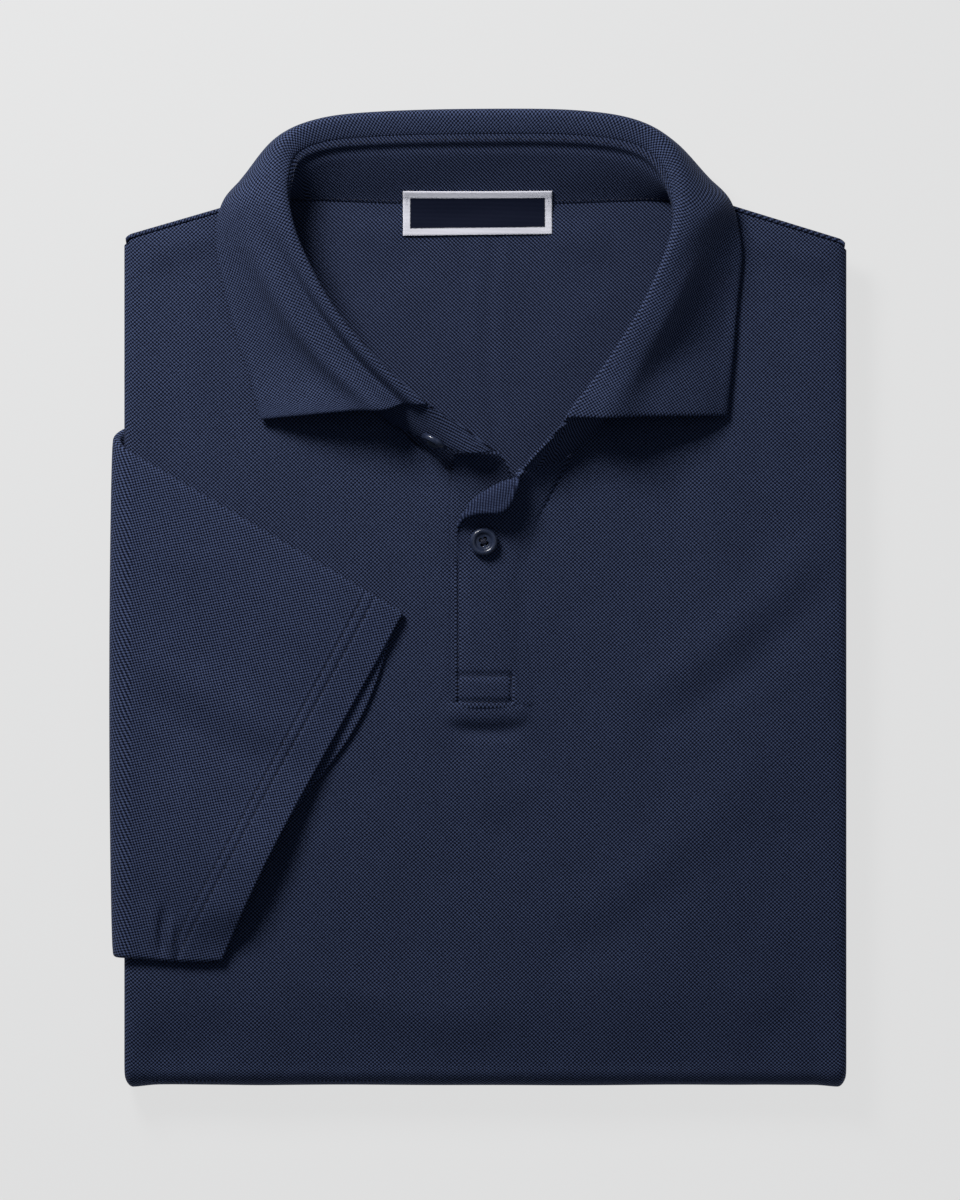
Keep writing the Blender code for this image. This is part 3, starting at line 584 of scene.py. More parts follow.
# how far the front stands above its level: the layers of the placket lift it beside and below them, and it
# sinks towards its folds
def frontRelief(x, y):
    rightOf = ease((x - 9.0) / 6.0) * rising["right"] * (1 - ease((x - 14.0) / 36.0))
    leftOf = ease((-9.0 - x) / 3.5) * rising["left"] * (1 - ease((-11.0 - x) / 30.0))
    beside = (rightOf + leftOf) * ease((y + 62.0) / 16.0) * (1 - ease((y - 34.0) / 20.0))
    below = rising["foot"] * ease((-40.3 - y) / 3.0) * (1 - ease((-47.0 - y) / 9.0))
    below = below * ease((x + 16.0) / 6.0) * ease((23.0 - x) / 7.0)
    side = np.minimum(x - body["left"], body["right"] - x)
    sunk = (rising["sideSink"] * np.exp(-side / 6.0)
            + rising["foldSink"] * (1 - ease((y - body["foot"]) / 44.0)) * ease(side / 14.0))
    slow = 0.28 * np.sin(x / 23.0 + 0.6) * np.sin(y / 31.0 + 1.1) + 0.16 * np.sin(x / 11.0 - y / 19.0)
    return np.maximum(beside, below) - sunk + slow + rising["creases"] * creases(x, y, frontCreases)


grid, depth, onTop = frontGrid()
x, y = grid[..., 0], grid[..., 1]
u, v = lengths(grid)
middleColumn = int(np.argmin(np.abs(x[0])))
inFace = ease((depth - roll) / roll)
relief = np.where(onTop[:, None], frontRelief(x, y), 0.3 * creases(x, y, tailCreases)) * inFace
foldRow = int(onTop.sum())
relief[foldRow:foldRow + 16] = relief[foldRow - 1] * np.linspace(1, 0, 16)[:, None]  # fades round the fold
allNormals = unit(np.cross(np.gradient(grid, axis=0), np.gradient(grid, axis=1)))
if allNormals[:foldRow, :, 2].sum() < 0:
    allNormals = -allNormals
grid = grid + allNormals * relief[..., None]
across = u[foldRow] - u[foldRow, middleColumn] + x[foldRow, middleColumn]
weave = np.stack([np.broadcast_to(across, u.shape), foldY + v[foldRow:foldRow + 1] - v], -1)
frontGridTop = grid[:foldRow]
frontPanel = clothShell("frontPanel", grid, body["wall"], weave, bodyCloth)
print("front panel ready")

# back panel: level under the front, sewn to the stand at the neck, rolled over each shoulder

back = {"footY": 20.0, "neckY": 162.6, "neckHalf": 83.0, "shoulderRadius": 0.8, "seamTurn": 2.4}
backCreases = [
    # x0, y0, x1, y1, width, height
    (2.7, 156.0, 3.5, 58.0, 2.0, 0.35),
    (13.0, 158.0, 12.4, 66.0, 2.4, 0.3),
    (8.0, 157.0, 8.0, 60.0, 2.2, -0.2),
    (-54.0, 153.0, -30.0, 150.0, 7.0, 0.9),
    (28.0, 150.0, 52.0, 147.0, 8.0, 0.9),
    (-20.0, 128.0, -52.0, 108.0, 9.0, 0.4),
    (52.0, 126.0, 30.0, 92.0, 8.0, 0.4),
    (-10.0, 60.0, 26.0, 78.0, 7.0, 0.3),
]


# rows run up the back to the neck seam; the last ones turn through bend times half a circle to the front
def backGrid():
    outward = np.linspace(0, 1, 36)**1.5
    x = np.concatenate([body["left"] + 0.8 + (-88.8 - body["left"]) * outward, np.linspace(-86.5, -78, 10),
                        np.linspace(-75, 77, 76), np.linspace(80, 88.5, 10),
                        body["right"] - 0.8 + (90.8 - body["right"]) * outward[::-1]])
    bend = ease(np.clip((np.abs(x - 1.0) - back["neckHalf"]) / 3.5, 0.02, 1))
    bend = np.maximum(bend, 0.001)
    radius = back["shoulderRadius"]
    arc = math.pi * radius
    lip = body["forwardSeam"] - 0.3 - radius - body["wall"] / 2
    level = backTop - body["wall"] / 2
    sag = 1.4 * (1 - ((x - 1) / back["neckHalf"])**2)
    start = (bend * (shoulderY(x) - radius - body["wall"] / 2)
             + (1 - bend) * (back["neckY"] - sag - arc - lip + back["seamTurn"]))
    shares = np.concatenate([edged(70, 140.0)[:-4], [1.0]])
    y = back["footY"] + (start - back["footY"]) * shares[:, None]
    flat = np.stack([np.broadcast_to(x, y.shape), y, np.full(y.shape, level)], -1)
    turn = math.pi * bend
    share = np.linspace(0, 1, 12)[1:, None]
    rolled = np.stack([np.broadcast_to(x, (11, len(x))), start + arc / turn * np.sin(turn * share),
                       level + arc / turn * (1 - np.cos(turn * share))], -1)
    lipShare = np.array([0.5, 0.85, 0.97, 1.0])[:, None]
    end = rolled[-1] + np.stack([0 * x, lip * np.cos(turn), lip * np.sin(turn)], 1) * lipShare[..., None]
    return np.concatenate([flat, rolled, end]), len(shares)


grid, flatRows = backGrid()
x, y = grid[..., 0], grid[..., 1]
rise = creases(x, y, backCreases) + 0.22 * np.sin(x / 17.0) * np.sin(y / 24.0 + 0.5)
inside = ease((80.0 - np.abs(x)) / 12.0) * (np.arange(len(grid)) < flatRows)[:, None]
grid[..., 2] += rise * inside * ease((160.5 - y) / 6.0)
u, v = lengths(grid)
weave = np.stack([np.broadcast_to(u[0] - u[0, 80], u.shape), v], -1)
backPanel = clothShell("backPanel", grid, body["wall"], weave, innerCloth)
print("back panel ready")

# folded layers: one rounded solid whose sides are scalloped, a scallop for each hidden layer

layers = {"pitch": 1.55, "scallop": 0.55, "corner": 3.0}


# outline at the height h: a rounded rectangle whose foot follows the fold, drawn in by each round edge
def foldedGrid():
    radius = body["crevice"] + innerStack
    slotLeft, slotRight = body["left"] + body["lip"] + 0.3, body["right"] - body["lip"] - 0.3
    innerLeft, innerRight = body["left"] + body["wall"] + 2.5, body["right"] - body["wall"] - 2.5
    lips = body["crevice"] + body["wall"] + 0.3
    tucked = 1.7
    bands = [
        # from, to, left, right, upper edge at the sides, upper edge in the middle
        (-radius, -radius + 1.6, innerLeft, innerRight, 135.5, 135.5),
        (-radius + 1.6, -lips, innerLeft, innerRight, 133.5, 133.5),
        (-lips, -tucked, slotLeft, slotRight, 132.0, 132.0),
        (-tucked, tucked, slotLeft, body["right"] - 2.0, 136.0, 131.0),
        (tucked, lips, slotLeft, slotRight, 141.0, 136.0),
        (lips, radius - body["wall"] - 1.4, innerLeft, innerRight, 144.0, 140.0),
    ]
    rings = []
    for low, high, left, right, sideTop, middleTop in bands:
        count = max(1, round((high - low) / layers["pitch"]))
        for k in range(count):
            h0 = low + (high - low) * k / count
            h1 = low + (high - low) * (k + 1) / count
            for a in np.linspace(-1, 1, 7):
                h = (h0 + h1) / 2 + a * (h1 - h0) / 2 * 0.999
                inset = layers["scallop"] * (1 - math.sqrt(max(1 - a * a, 0.0)))
                foot = foldY - math.sqrt(max(radius**2 - h**2, 0)) * 0.97
                short = inset + 1.1 * (k % 2)  # every other layer ends a little lower
                rings.append(outlineAt(left + inset, right - inset, foot + inset, sideTop - short,
                                       middleTop - short, midZ + h, abs(h) <= tucked, slotRight))
    return np.array(rings)


def outlineAt(left, right, foot, sideTop, middleTop, z, cuffBand, slotRight):
    corner = layers["corner"]
    q = np.linspace(0, math.pi / 2, 7)
    footRight = slotRight if cuffBand else right
    parts = [
        np.stack([left + corner - corner * np.cos(q), foot + corner - corner * np.sin(q)], 1),
        np.stack([np.linspace(left + corner, footRight - corner, 30)[1:-1], np.full(28, foot)], 1),
        np.stack([footRight - corner + corner * np.sin(q), foot + corner - corner * np.cos(q)], 1),
        np.stack([np.full(40, right), np.linspace(foldY + 4.0, sideTop, 40)], 1),
    ]
    topX = np.linspace(right, left, 42)[1:-1]
    sag = (sideTop - middleTop) * bell(topX / 60.0, 1.0)
    ripple = 0.5 * np.sin(topX / 9.0 + z)
    leftSide = np.stack([np.full(40, left), np.linspace(sideTop, foot + corner, 40)], 1)
    parts += [np.stack([topX, sideTop - sag + ripple], 1), leftSide[:-1]]
    flat = np.concatenate(parts)
    return np.column_stack([flat, np.full(len(flat), z)])


rings = foldedGrid()
perimeter = np.cumsum(np.linalg.norm(np.diff(rings[0], axis=0, prepend=rings[0, -1:]), axis=1))
rise = np.cumsum(np.r_[0, np.hypot(np.diff(rings[:, 0, 2]), np.diff(rings[:, 0, 0]))])
weave = np.stack(np.broadcast_arrays(perimeter[None, :], rise[:, None]), -1)
foldedLayers = addMesh("foldedLayers", rings, ringFaces(*rings.shape[:2]), hiddenCloth, weave)
print("folded layers ready")

# collar: the stand up to its seam, and the leaf over the crest and down to its free edge

collar = {"standWall": 1.5, "leafWall": 1.7, "join": 0.79, "topstitch": 1.8}
rollLine = [
    # x, y, z of the crest
    (-20.5, 78.5, 34.5), (-27.0, 83.0, 36.0), (-45.3, 100.2, 37.5),
    (-61.7, 120.7, 38.5), (-74.0, 143.3, 38.5),
    (-79.6, 158.5, 38.0), (-82.0, 172.5, 36.0), (-79.0, 186.0, 33.0),
    (-66.0, 193.5, 30.5), (-40.0, 196.5, 29.5),
    (0.0, 197.5, 29.0), (40.0, 197.0, 29.5), (65.0, 192.5, 31.0), (77.5, 182.0, 33.5), (82.5, 165.0, 36.0),
    (80.2, 149.4, 38.0), (71.5, 128.9, 38.5), (61.3, 110.5, 38.5), (49.0, 92.0, 37.5), (39.5, 79.5, 36.5),
    (35.0, 70.8, 35.0),
]
standFoot = [
    # x, y, z of the mid wall, and how far it rises straight up before it leans
    (6.8, 61.0, 28.0, 0.0), (-8.0, 60.6, 29.5, 0.0), (-37.0, 73.5, 17.6, 6.0), (-58.0, 93.5, 16.6, 8.0),
    (-78.0, 125.0, 16.6, 8.0), (-84.5, 152.0, 16.6, 8.0),
    (-80.0, 163.7, 16.6, 6.0), (-70.0, 164.0, 14.8, 2.0),
    (-56.0, 163.4, 14.6, 0.0), (-34.0, 162.6, 14.6, 0.0), (1.0, 162.2, 14.6, 0.0), (36.0, 162.6, 14.6, 0.0),
    (58.0, 163.4, 14.6, 0.0), (72.0, 164.0, 14.8, 2.0), (81.5, 163.2, 16.6, 6.0), (87.0, 149.0, 16.6, 8.0),
    (82.0, 126.0, 16.6, 8.0), (71.0, 101.0, 16.6, 8.0), (54.0, 77.0, 16.6, 8.0), (34.5, 58.5, 18.2, 6.0),
    (15.2, 51.8, 25.6, 3.0),
]
leafEdge = [
    # x, y, z of the free edge, and how steeply the leaf falls to it: 0 lies flat, 1 hangs straight down
    (-89.6, 73.8, 19.4, 0.0), (-93.5, 88.0, 18.5, 0.0), (-99.5, 107.0, 18.3, 0.0), (-105.2, 129.0, 18.4, 0.1),
    (-107.8, 147.0, 18.6, 0.3), (-105.0, 162.0, 18.4, 0.6),
    (-96.5, 172.5, 9.0, 1.0), (-82.0, 187.0, 3.0, 1.0),
    (-58.0, 193.5, 1.4, 1.0), (-34.0, 195.5, 1.2, 1.0), (0.0, 196.5, 1.2, 1.0), (34.0, 195.8, 1.2, 1.0),
    (58.0, 193.0, 1.4, 1.0), (78.0, 186.0, 3.0, 1.0), (92.5, 173.0, 9.0, 1.0), (101.6, 163.5, 18.4, 0.7),
    (105.6, 152.0, 18.6, 0.3), (107.2, 140.0, 18.4, 0.1), (105.4, 120.0, 18.3, 0.0), (103.4, 97.0, 18.3, 0.0),
    (101.1, 75.4, 18.4, 0.0),
]


lastRow = len(rollLine) - 1


# stand = cubic(foot, foot + up rise + (crest - foot)/4, crest - 3 out - 4 up, crest); at the back the third
# point is crest - 9 out - 0.4 up. leaf = cubic(crest, crest + out reach, edge + up - out reach, edge), out
# being the way the leaf turns down
def collarLines(t):
    leafRow = np.clip((t - 0.5) * lastRow / (lastRow - 1), 0, lastRow)
    crest, foot, edge = curveAt(rollLine, t), curveAt(standFoot, t), curveAt(leafEdge, leafRow)
    fall = np.clip(edge[:, 3:], 0, 1)
    fine = np.linspace(0, len(rollLine) - 1, 401)
    fineRoll = curveAt(rollLine, fine)
    runAll = np.gradient(fineRoll, axis=0)
    run = np.stack([np.interp(t, fine, runAll[:, k]) for k in range(3)], 1)
    square = unit(np.stack([run[:, 1], -run[:, 0], 0 * t], 1)) * -1
    level = unit((edge[:, :3] - crest) * (1, 1, 0))
    out = unit(level * (1 - fall) + square * fall)
    return crest, foot[:, :3], foot[:, 3:], edge[:, :3], fall, out


def standGrid(t, shares):
    crest, foot, rise, _, fall, out = collarLines(t)
    below = crest - out * (3 + 6 * fall) - up * (4 - 3.6 * fall)
    return bezier(foot, foot + up * rise + (crest - foot) * 0.25, below, crest, shares)


def leafGrid(t, rising, turned):
    crest, _, _, edge, fall, out = collarLines(t)
    reach = 0.3 * np.linalg.norm(edge - crest, axis=1, keepdims=True)
    nearPoint = ease((2.2 - np.minimum(t, lastRow - t)) / 1.7)[:, None]
    over = crest + out * (reach * 0.8 * (1 - fall) + 4.5 * fall)
    down = edge + up * (4.5 + 13.5 * fall + 10.0 * nearPoint) - out * (reach * 1.1 * (1 - fall) - 3.0 * fall)
    return np.concatenate([standGrid(t, rising), bezier(crest, over, down, edge, turned)], 1), fall


# the heading of a collar strip's weave: it turns with the front parts, and lies straight along the back
def headingOf(line, t):
    run = np.gradient(line, axis=0)
    turning = np.unwrap(np.arctan2(run[:, 1], run[:, 0])) - math.pi / 2
    leftShare, rightShare = 1 - ease((t - 4.0) / 2.5), 1 - ease((lastRow - 4.0 - t) / 2.5)
    return (math.pi / 2 + leftShare * (turning - math.radians(15.5))
            + rightShare * (turning + math.radians(195)))


# rounds a crease that runs along a grid: each point moves half way to the middle of its neighbours
def relaxed(grid, passes, first, last):
    grid = grid.copy()
    for _ in range(passes):
        beside = grid[:, first - 1:last - 1] + grid[:, first + 1:last + 1]
        grid[:, first:last] = (grid[:, first:last] * 2 + beside) / 4
    return grid


standCreases = [
    # along from the middle of the back, up from the foot, then the same at the other end, width, height
    (120.0, 4.0, 126.0, 30.0, 3.0, 1.0),
    (132.0, 6.0, 136.0, 28.0, 2.6, -0.9),
    (-128.0, 8.0, -120.0, 26.0, 4.0, 0.6),
]
endRows = edged(28, 9.0)[:-4] * 0.8
t = np.concatenate([endRows, np.linspace(0.8, lastRow - 0.8, 220), lastRow - endRows[::-1]])
shares = edged(30, 30.0)[None, :] * (collar["join"] + (0.97 - collar["join"]) * (
    1 - ease((np.minimum(t, lastRow - t) - 0.15) / 0.35)))[:, None]
fineShares = np.linspace(0, 1, 240)
dense = standGrid(t, fineShares)
place = shares * 239
rowsAt = np.arange(len(t))[:, None]
j0 = np.clip(place.astype(int), 0, 238)
part = (place - j0)[..., None]
grid = dense[rowsAt, j0] * (1 - part) + dense[rowsAt, j0 + 1] * part
inward = np.array([0.0, 120.0, 60.0]) - grid
normals = unit(np.cross(np.gradient(grid, axis=0), np.gradient(grid, axis=1)))
if (normals * inward).sum() < 0:
    normals = -normals
u, v = lengths(grid)
endDistance = np.minimum(v, v[-1:] - v)
topDistance = u[:, -1:] - u
atBack = ease((6.0 - np.abs(t - 10.0)) / 1.5)[:, None]
standWall = collar["standWall"] * (1 - 0.55 * bell(endDistance - collar["topstitch"], 0.7))
relief = (atBack * (0.7 * bell(topDistance - 3.2, 1.3) - 0.6 * bell(topDistance - 6.0, 1.6))
          + 0.25 * np.sin(v / 13.0) * bell(u - u[:, -1:] / 2, 9.0)
          + atBack * creases(v - v[-1:] / 2, u, standCreases))
grid = grid + normals * relief[..., None]
standWeave = stripWeave(grid, 20, 0, headingOf(grid[:, 20], t), -1)
collarStand = clothShell("collarStand", grid, standWall, standWeave, standCloth, normals=normals)
standKept, standNormals = grid, normals
print("collar stand ready")

leafT = 0.5 + edged(250, 480.0) * (lastRow - 1.0)
seamShares = collar["join"] - np.array([0.02, 0.017, 0.01, -0.005])  # close together at the rounded seam edge
standShares = np.append(seamShares, np.linspace(collar["join"] + 0.04, 0.985, 9))
grid, fall = leafGrid(leafT, standShares, edged(46, 40.0)[2:])
grid = relaxed(grid, 10, 8, 21)
normals = unit(np.cross(np.gradient(grid, axis=0), np.gradient(grid, axis=1)))
if normals[:, 30, 2].sum() < 0:
    normals = -normals
u, v = lengths(grid)
fromCrest = u - u[:, 13:14]
toEdge = u[:, -1:] - u
flatPart = 1 - ease(fall / 0.8)
side = np.sign(leafT - lastRow / 2)[:, None]
frontness = ease((np.abs(leafT - lastRow / 2) - 4.5) / 3.0)[:, None]
# beside the crest: a trough and then a ridge on the wearer's right, one broad ridge on the wearer's left
relief = flatPart * frontness * ease(fromCrest / 4.0) * ease(toEdge / 6.0) * (
    (0.5 - 0.5 * side) * (-3.9 * bell(fromCrest - 8.2, 3.8) + 3.4 * bell(fromCrest - 18.0, 6.8))
    + (0.5 + 0.5 * side) * 3.0 * bell(fromCrest - 15.0, 10.0)
    + 0.25 * np.sin(v / 19.0 + side) * bell(fromCrest - 24.0, 12.0))
relief = relief + 0.28 * bell(toEdge - 2.2, 2.0) - 0.12 * np.sin(v / 8.0) * bell(toEdge, 3.0) * (1 - fall)
grid = grid + normals * relief[..., None]
leafWeave = stripWeave(grid, 13, 13, headingOf(grid[:, 13], leafT))
collarLeaf = clothShell("collarLeaf", grid, collar["leafWall"], leafWeave, leafCloth, normals=normals)
print("collar leaf ready")

# plackets: two strips from the box of stitches up to the stand; the upper one turns back like a lapel

placket = {"wall": 1.3, "footY": -47.0, "sink": 0.95, "footSink": 2.9, "tuckRight": 14.0}
boxLeft, boxRight, boxTop, boxFoot = -8.9, 12.8, -31.3, -41.8  # its rows of stitches
underZ = frontTop + 0.3 + body["wall"] / 2
upperZ = underZ + body["wall"] + 0.3
underRows = [
    # sewn edge x, y, z, then free edge x, y, z
    (-12.0, -41.5, underZ, 6.0, -41.5, underZ),
    (-12.0, 0.0, underZ, 6.0, 0.0, underZ),
    (-12.0, 26.0, underZ, 5.0, 26.0, underZ),
    (-12.0, 40.0, underZ, 10.0, 40.0, underZ + 0.4),
    (-11.5, 50.0, underZ + 0.2, 12.7, 50.5, underZ + 2.5),
    (-10.5, 60.0, underZ + 2.0, 8.0, 60.4, 25.0),
]
t = edged(90, 105.0) * (len(underRows) - 1)
rows = curveAt(underRows, t)
share = edged(24, 18.0)[None, :, None]
grid = rows[:, None, :3] * (1 - share) + rows[:, None, 3:] * share
grid[..., 2] -= 0.35 * ease((24.0 - grid[..., 1]) / 8.0)
weave = grid[..., :2].copy()
placketUnder = clothShell("placketUnder", grid, 1.0, weave, placketCloth)

upperRows = [
    # sewn edge x, y, z, then the bend's x, y, z, then free edge x, y, z
    (16.0, placket["footY"], underZ, -5.0, placket["footY"], upperZ, -10.5, placket["footY"], upperZ),
    (16.0, -10.0, underZ, -5.0, -10.0, upperZ, -10.5, -10.0, upperZ),
    (16.0, 10.0, underZ, -5.0, 13.0, upperZ, -10.5, 14.0, upperZ),
    (17.0, 18.0, underZ, -6.5, 24.0, upperZ, -10.3, 22.5, upperZ + 0.6),
    (19.5, 25.0, underZ, -8.0, 33.5, upperZ + 0.3, -8.7, 31.0, upperZ + 4.0),
    (22.5, 32.5, underZ, -10.5, 46.0, upperZ + 8.0, -1.0, 34.8, upperZ + 8.0),
    (26.0, 39.5, underZ, -2.0, 54.5, upperZ + 12.0, 10.2, 36.0, upperZ + 9.5),
    (30.0, 48.0, underZ, 11.0, 53.5, upperZ + 11.0, 15.0, 45.0, upperZ + 9.5),
    (34.8, 58.6, underZ + 0.6, 18.5, 56.0, upperZ + 7.0, 14.6, 52.2, upperZ + 6.6),
]
t = edged(240, 115.0) * (len(upperRows) - 1)
rows = curveAt(upperRows, t)
sewn, bend, free = rows[:, :3], rows[:, 3:6], rows[:, 6:]
near = sewn + (bend - sewn) * (0.4, 0.4, 0) + up * np.clip(bend[:, 2:] - sewn[:, 2:], 0, 2.5) * 1.4
grid = bezier(sewn, near, bend, free, edged(46, 30.0)[3:])
lowRows = ease((22.0 - grid[..., 1]) / 10.0)
grid[..., 2] -= placket["sink"] * ease((-3.0 - grid[..., 0]) / 7.0) * lowRows
tuck = np.linspace(1, 0, 9)[:-1][None, :, None]
reach = (placket["tuckRight"] * (1 - 0.75 * ease((t - 3.0) / 3.0)))[:, None, None]
drop = (1.9 + 2.4 * ease((t - 3.0) / 2.0))[:, None, None]
tucked = sewn[:, None] + tuck * reach * np.array([1.0, 0, 0]) - up * drop * ease(tuck)
grid = np.concatenate([tucked, grid], 1)
x, y = grid[..., 0], grid[..., 1]
lowRows = ease((22.0 - y) / 10.0)
inBox = ease(x - boxLeft + 1.5) * ease(boxRight + 1.3 - x)
alongBox = ease((y - boxFoot + 0.9) / 0.9) * ease((boxTop + 0.9 - y) / 0.9)
grooves = (1.6 * inBox * (bell(y - boxTop, 0.85) + bell(y - boxFoot, 0.85))
           + 0.9 * bell(x - boxLeft, 0.7) * lowRows + bell(x - boxRight, 0.7) * alongBox)
grid[..., 2] -= grooves + placket["footSink"] * ease((-42.6 - y) / 4.4)
weave = grid[..., :2].copy()
u, v = lengths(grid)
lapelRow = ease((np.linspace(0, len(upperRows) - 1, len(grid)) - 3.2) / 0.8)[:, None]
grid = grid + normalsOf(grid) * (-0.55 * bell(u[:, -1:] - u - 1.5, 0.6) * lapelRow)[..., None]
placketUpper = clothShell("placketUpper", grid, placket["wall"], weave, [placketCloth, facingCloth])
cells = (grid.shape[0] - 1) * (grid.shape[1] - 1)
wrongSide = (np.arange(len(placketUpper.data.polygons)) // cells) == 1
placketUpper.data.polygons.foreach_set("material_index", wrongSide.astype(np.int32))
upperKept = grid
print("plackets ready")

# sleeve: a flattened tube laid on the front, rolled round the side into the crevice

sleeve = {
    "thickness": 3.4,
    "hollow": 0.8,
    "cuffPeek": 3.0,
    "hemDepth": 19.0,
    "hemStep": 0.35,
    "cuffLift": 7.5,
    "hemBow": 2.4,
    "puff": 1.5,
    "hemSkew": 5.0,
    "weaveTurn": -30.5,
}
hemRows = (sleeve["hemDepth"] - 1.2, sleeve["hemDepth"] - 5.6)
sleeveStations = [
    # along the upper fold: p, y, then along the lower fold: p, y; p runs along the cloth, 0 at the roll's top
    (-1.62, 74.0, -1.62, -146.0), (-1.0, 72.0, -1.0, -146.3), (-0.8, 70.3, -0.8, -146.4),
    (-0.6, 68.3, -0.6, -146.5), (-0.4, 66.0, -0.4, -146.6), (-0.2, 63.2, -0.2, -146.7),
    (0.0, 60.5, 0.0, -146.8), (12.0, 53.5, 5.0, -147.2), (40.0, 37.0, 14.0, -148.0),
    (75.0, 16.5, 24.0, -148.4), (97.0, 3.5, 31.5, -148.2), (111.4, -5.1, 36.8, -147.8),
]
sleeveCreases = [
    # x0, y0, x1, y1, width, height
    (-140.0, -20.0, -60.0, -60.0, 8.0, 1.0),
    (-138.0, -38.0, -74.0, -72.0, 7.0, -0.8),
    (-134.0, -74.0, -100.0, -112.0, 12.0, 0.8),
    (-142.0, 28.0, -104.0, 10.0, 9.0, 0.5),
    (-96.0, 18.0, -60.0, -22.0, 9.0, 0.45),
    (-146.0, -112.0, -118.0, -132.0, 7.0, -0.6),
    (-129.5, -126.0, -129.0, -149.0, 1.8, -2.2),
    (-126.0, -130.0, -125.5, -149.0, 1.6, 1.7),
    (-122.0, -134.0, -122.5, -150.0, 1.6, -0.9),
]
sleeveMidTop = frontTop + 0.3 + sleeve["thickness"] / 2
centreX, centreZ = body["left"] + roll, (sleeveMidTop + midZ) / 2
rollWide, rollHigh = 6.2, sleeveMidTop - centreZ
rollArc = math.pi * (rollWide + rollHigh) / 2


# a point p along the cloth from the top of the roll, lift away from its mid surface: level on top,
# an ellipse round the side, level again in the crevice
def sleevePlace(p, y, lift):
    angle = np.clip(-p / rollArc, 0, 1) * math.pi
    x = centreX - rollWide * np.sin(angle) + np.maximum(p, 0) - np.minimum(p + rollArc, 0)
    z = centreZ + rollHigh * np.cos(angle)
    return np.stack([x - lift * np.sin(angle), y, z + lift * np.cos(angle)], -1)


# round the tube: upper layer, far fold, lower layer, near fold, each place as (share, along, lift)
def sleeveGrid(thick, inset, inner):
    table = np.array(sleeveStations)
    table[:7, 0] *= rollArc
    table[:7, 2] *= rollArc
    t = np.concatenate([np.linspace(0, 6, 30)[:-1], np.linspace(6, 8.4, 30)[:-1],
                        np.linspace(8.4, 10.4, 96)[:-1], 10.4 + 0.6 * edged(16, 10.0)[3:]])
    at = curveAt(table, t)
    p0, y0, p1, y1 = (at[:, k:k + 1] for k in range(4))
    length = np.hypot(p1 - p0, y1 - y0)
    alongP, alongY = (p1 - p0) / length, (y1 - y0) / length
    a = np.linspace(0, 1, 76)
    turn = np.linspace(math.pi / 2, -math.pi / 2, 11)[1:-1]
    share = np.concatenate([a, np.ones(9), a[::-1], np.zeros(9)])
    swing = np.concatenate([0 * a, np.cos(turn), 0 * a, -np.cos(turn)])
    height = np.concatenate([0 * a + 1, np.sin(turn), 0 * a - 1, np.sin(turn[::-1])])
    lower = np.concatenate([0 * a, 0 * turn, 0 * a + 1, 0 * turn])
    upper = np.concatenate([0 * a + 1, 0 * turn + 1, 0 * a, 0 * turn + 1]) * np.clip(height + 0.2, 0, 1)
    s = inset + (length - 2 * inset) * share + thick * swing
    toHem = np.hypot(p0 - p0[-1], y0 - y0[-1]) * (1 - share) + np.hypot(p1 - p1[-1], y1 - y1[-1]) * share
    fromStitch = toHem - sleeve["hemSkew"] * np.clip(share, 0, 1)**1.5
    hem = 1 - ease((fromStitch - sleeve["hemDepth"]) / 0.9)
    nearEnd = 1 - ease(toHem / 34.0)
    climb = (1 - ease(toHem / 110.0))**1.2
    middle = np.sin(math.pi * np.clip(share, 0, 1))**0.8
    showing = 1.55 * np.sin(math.pi * np.clip((share - 0.06) / 0.44, 0, 1)) - ease((share - 0.46) / 0.2)
    peek = sleeve["cuffPeek"] * nearEnd**3 * showing * lower * ease((1.0 - share) / 0.12)
    drawn = sleeve["hemBow"] * nearEnd**2.2 * np.sin(math.pi * np.clip(share, 0, 1)**1.6) * upper
    ends = np.clip(toHem / 0.7, 0, 1)
    roundEnd = np.sqrt(1 - (1 - ends)**2)
    if inner:
        lift = thick * height + (1 - roundEnd) * 0.62 * height
    else:
        lift = (thick - (1 - roundEnd) * 0.62) * height + sleeve["hemStep"] * hem * np.abs(height) * 0.6
        for line in hemRows:
            lift = lift - 0.5 * bell(fromStitch - line, 0.7) * (height > 0.5)
    swell = bell(np.clip(share, 0, 1) - 0.74, 0.25) * ease((1 - share) / 0.14)
    onFace = ease((p0 + alongP * s - 2.0) / 24.0)
    cuff = sleeve["cuffLift"] * (0.5 * nearEnd**1.5 + 0.5 * climb) * swell * onFace
    puff = sleeve["puff"] * middle**0.7 * (1 - 0.8 * nearEnd)
    lift = lift + (cuff + puff) * upper
    lift = lift + 0.6 * nearEnd**2 * middle * lower
    p = p0 + alongP * s - alongY * (peek - drawn)
    y = y0 + alongY * s + alongP * (peek - drawn)
    grid = sleevePlace(p, y, lift)
    rise = creases(grid[..., 0], grid[..., 1], sleeveCreases) * upper * ease((p + 4.0) / 14.0)
    rise = rise * ease(s / 7.0) * ease((length - s) / 7.0)
    grid[..., 2] += rise + 0.2 * np.sin(p / 15.0) * np.sin(y / 21.0) * upper * ease((p - 2.0) / 10.0)
    return grid, p, y, fromStitch


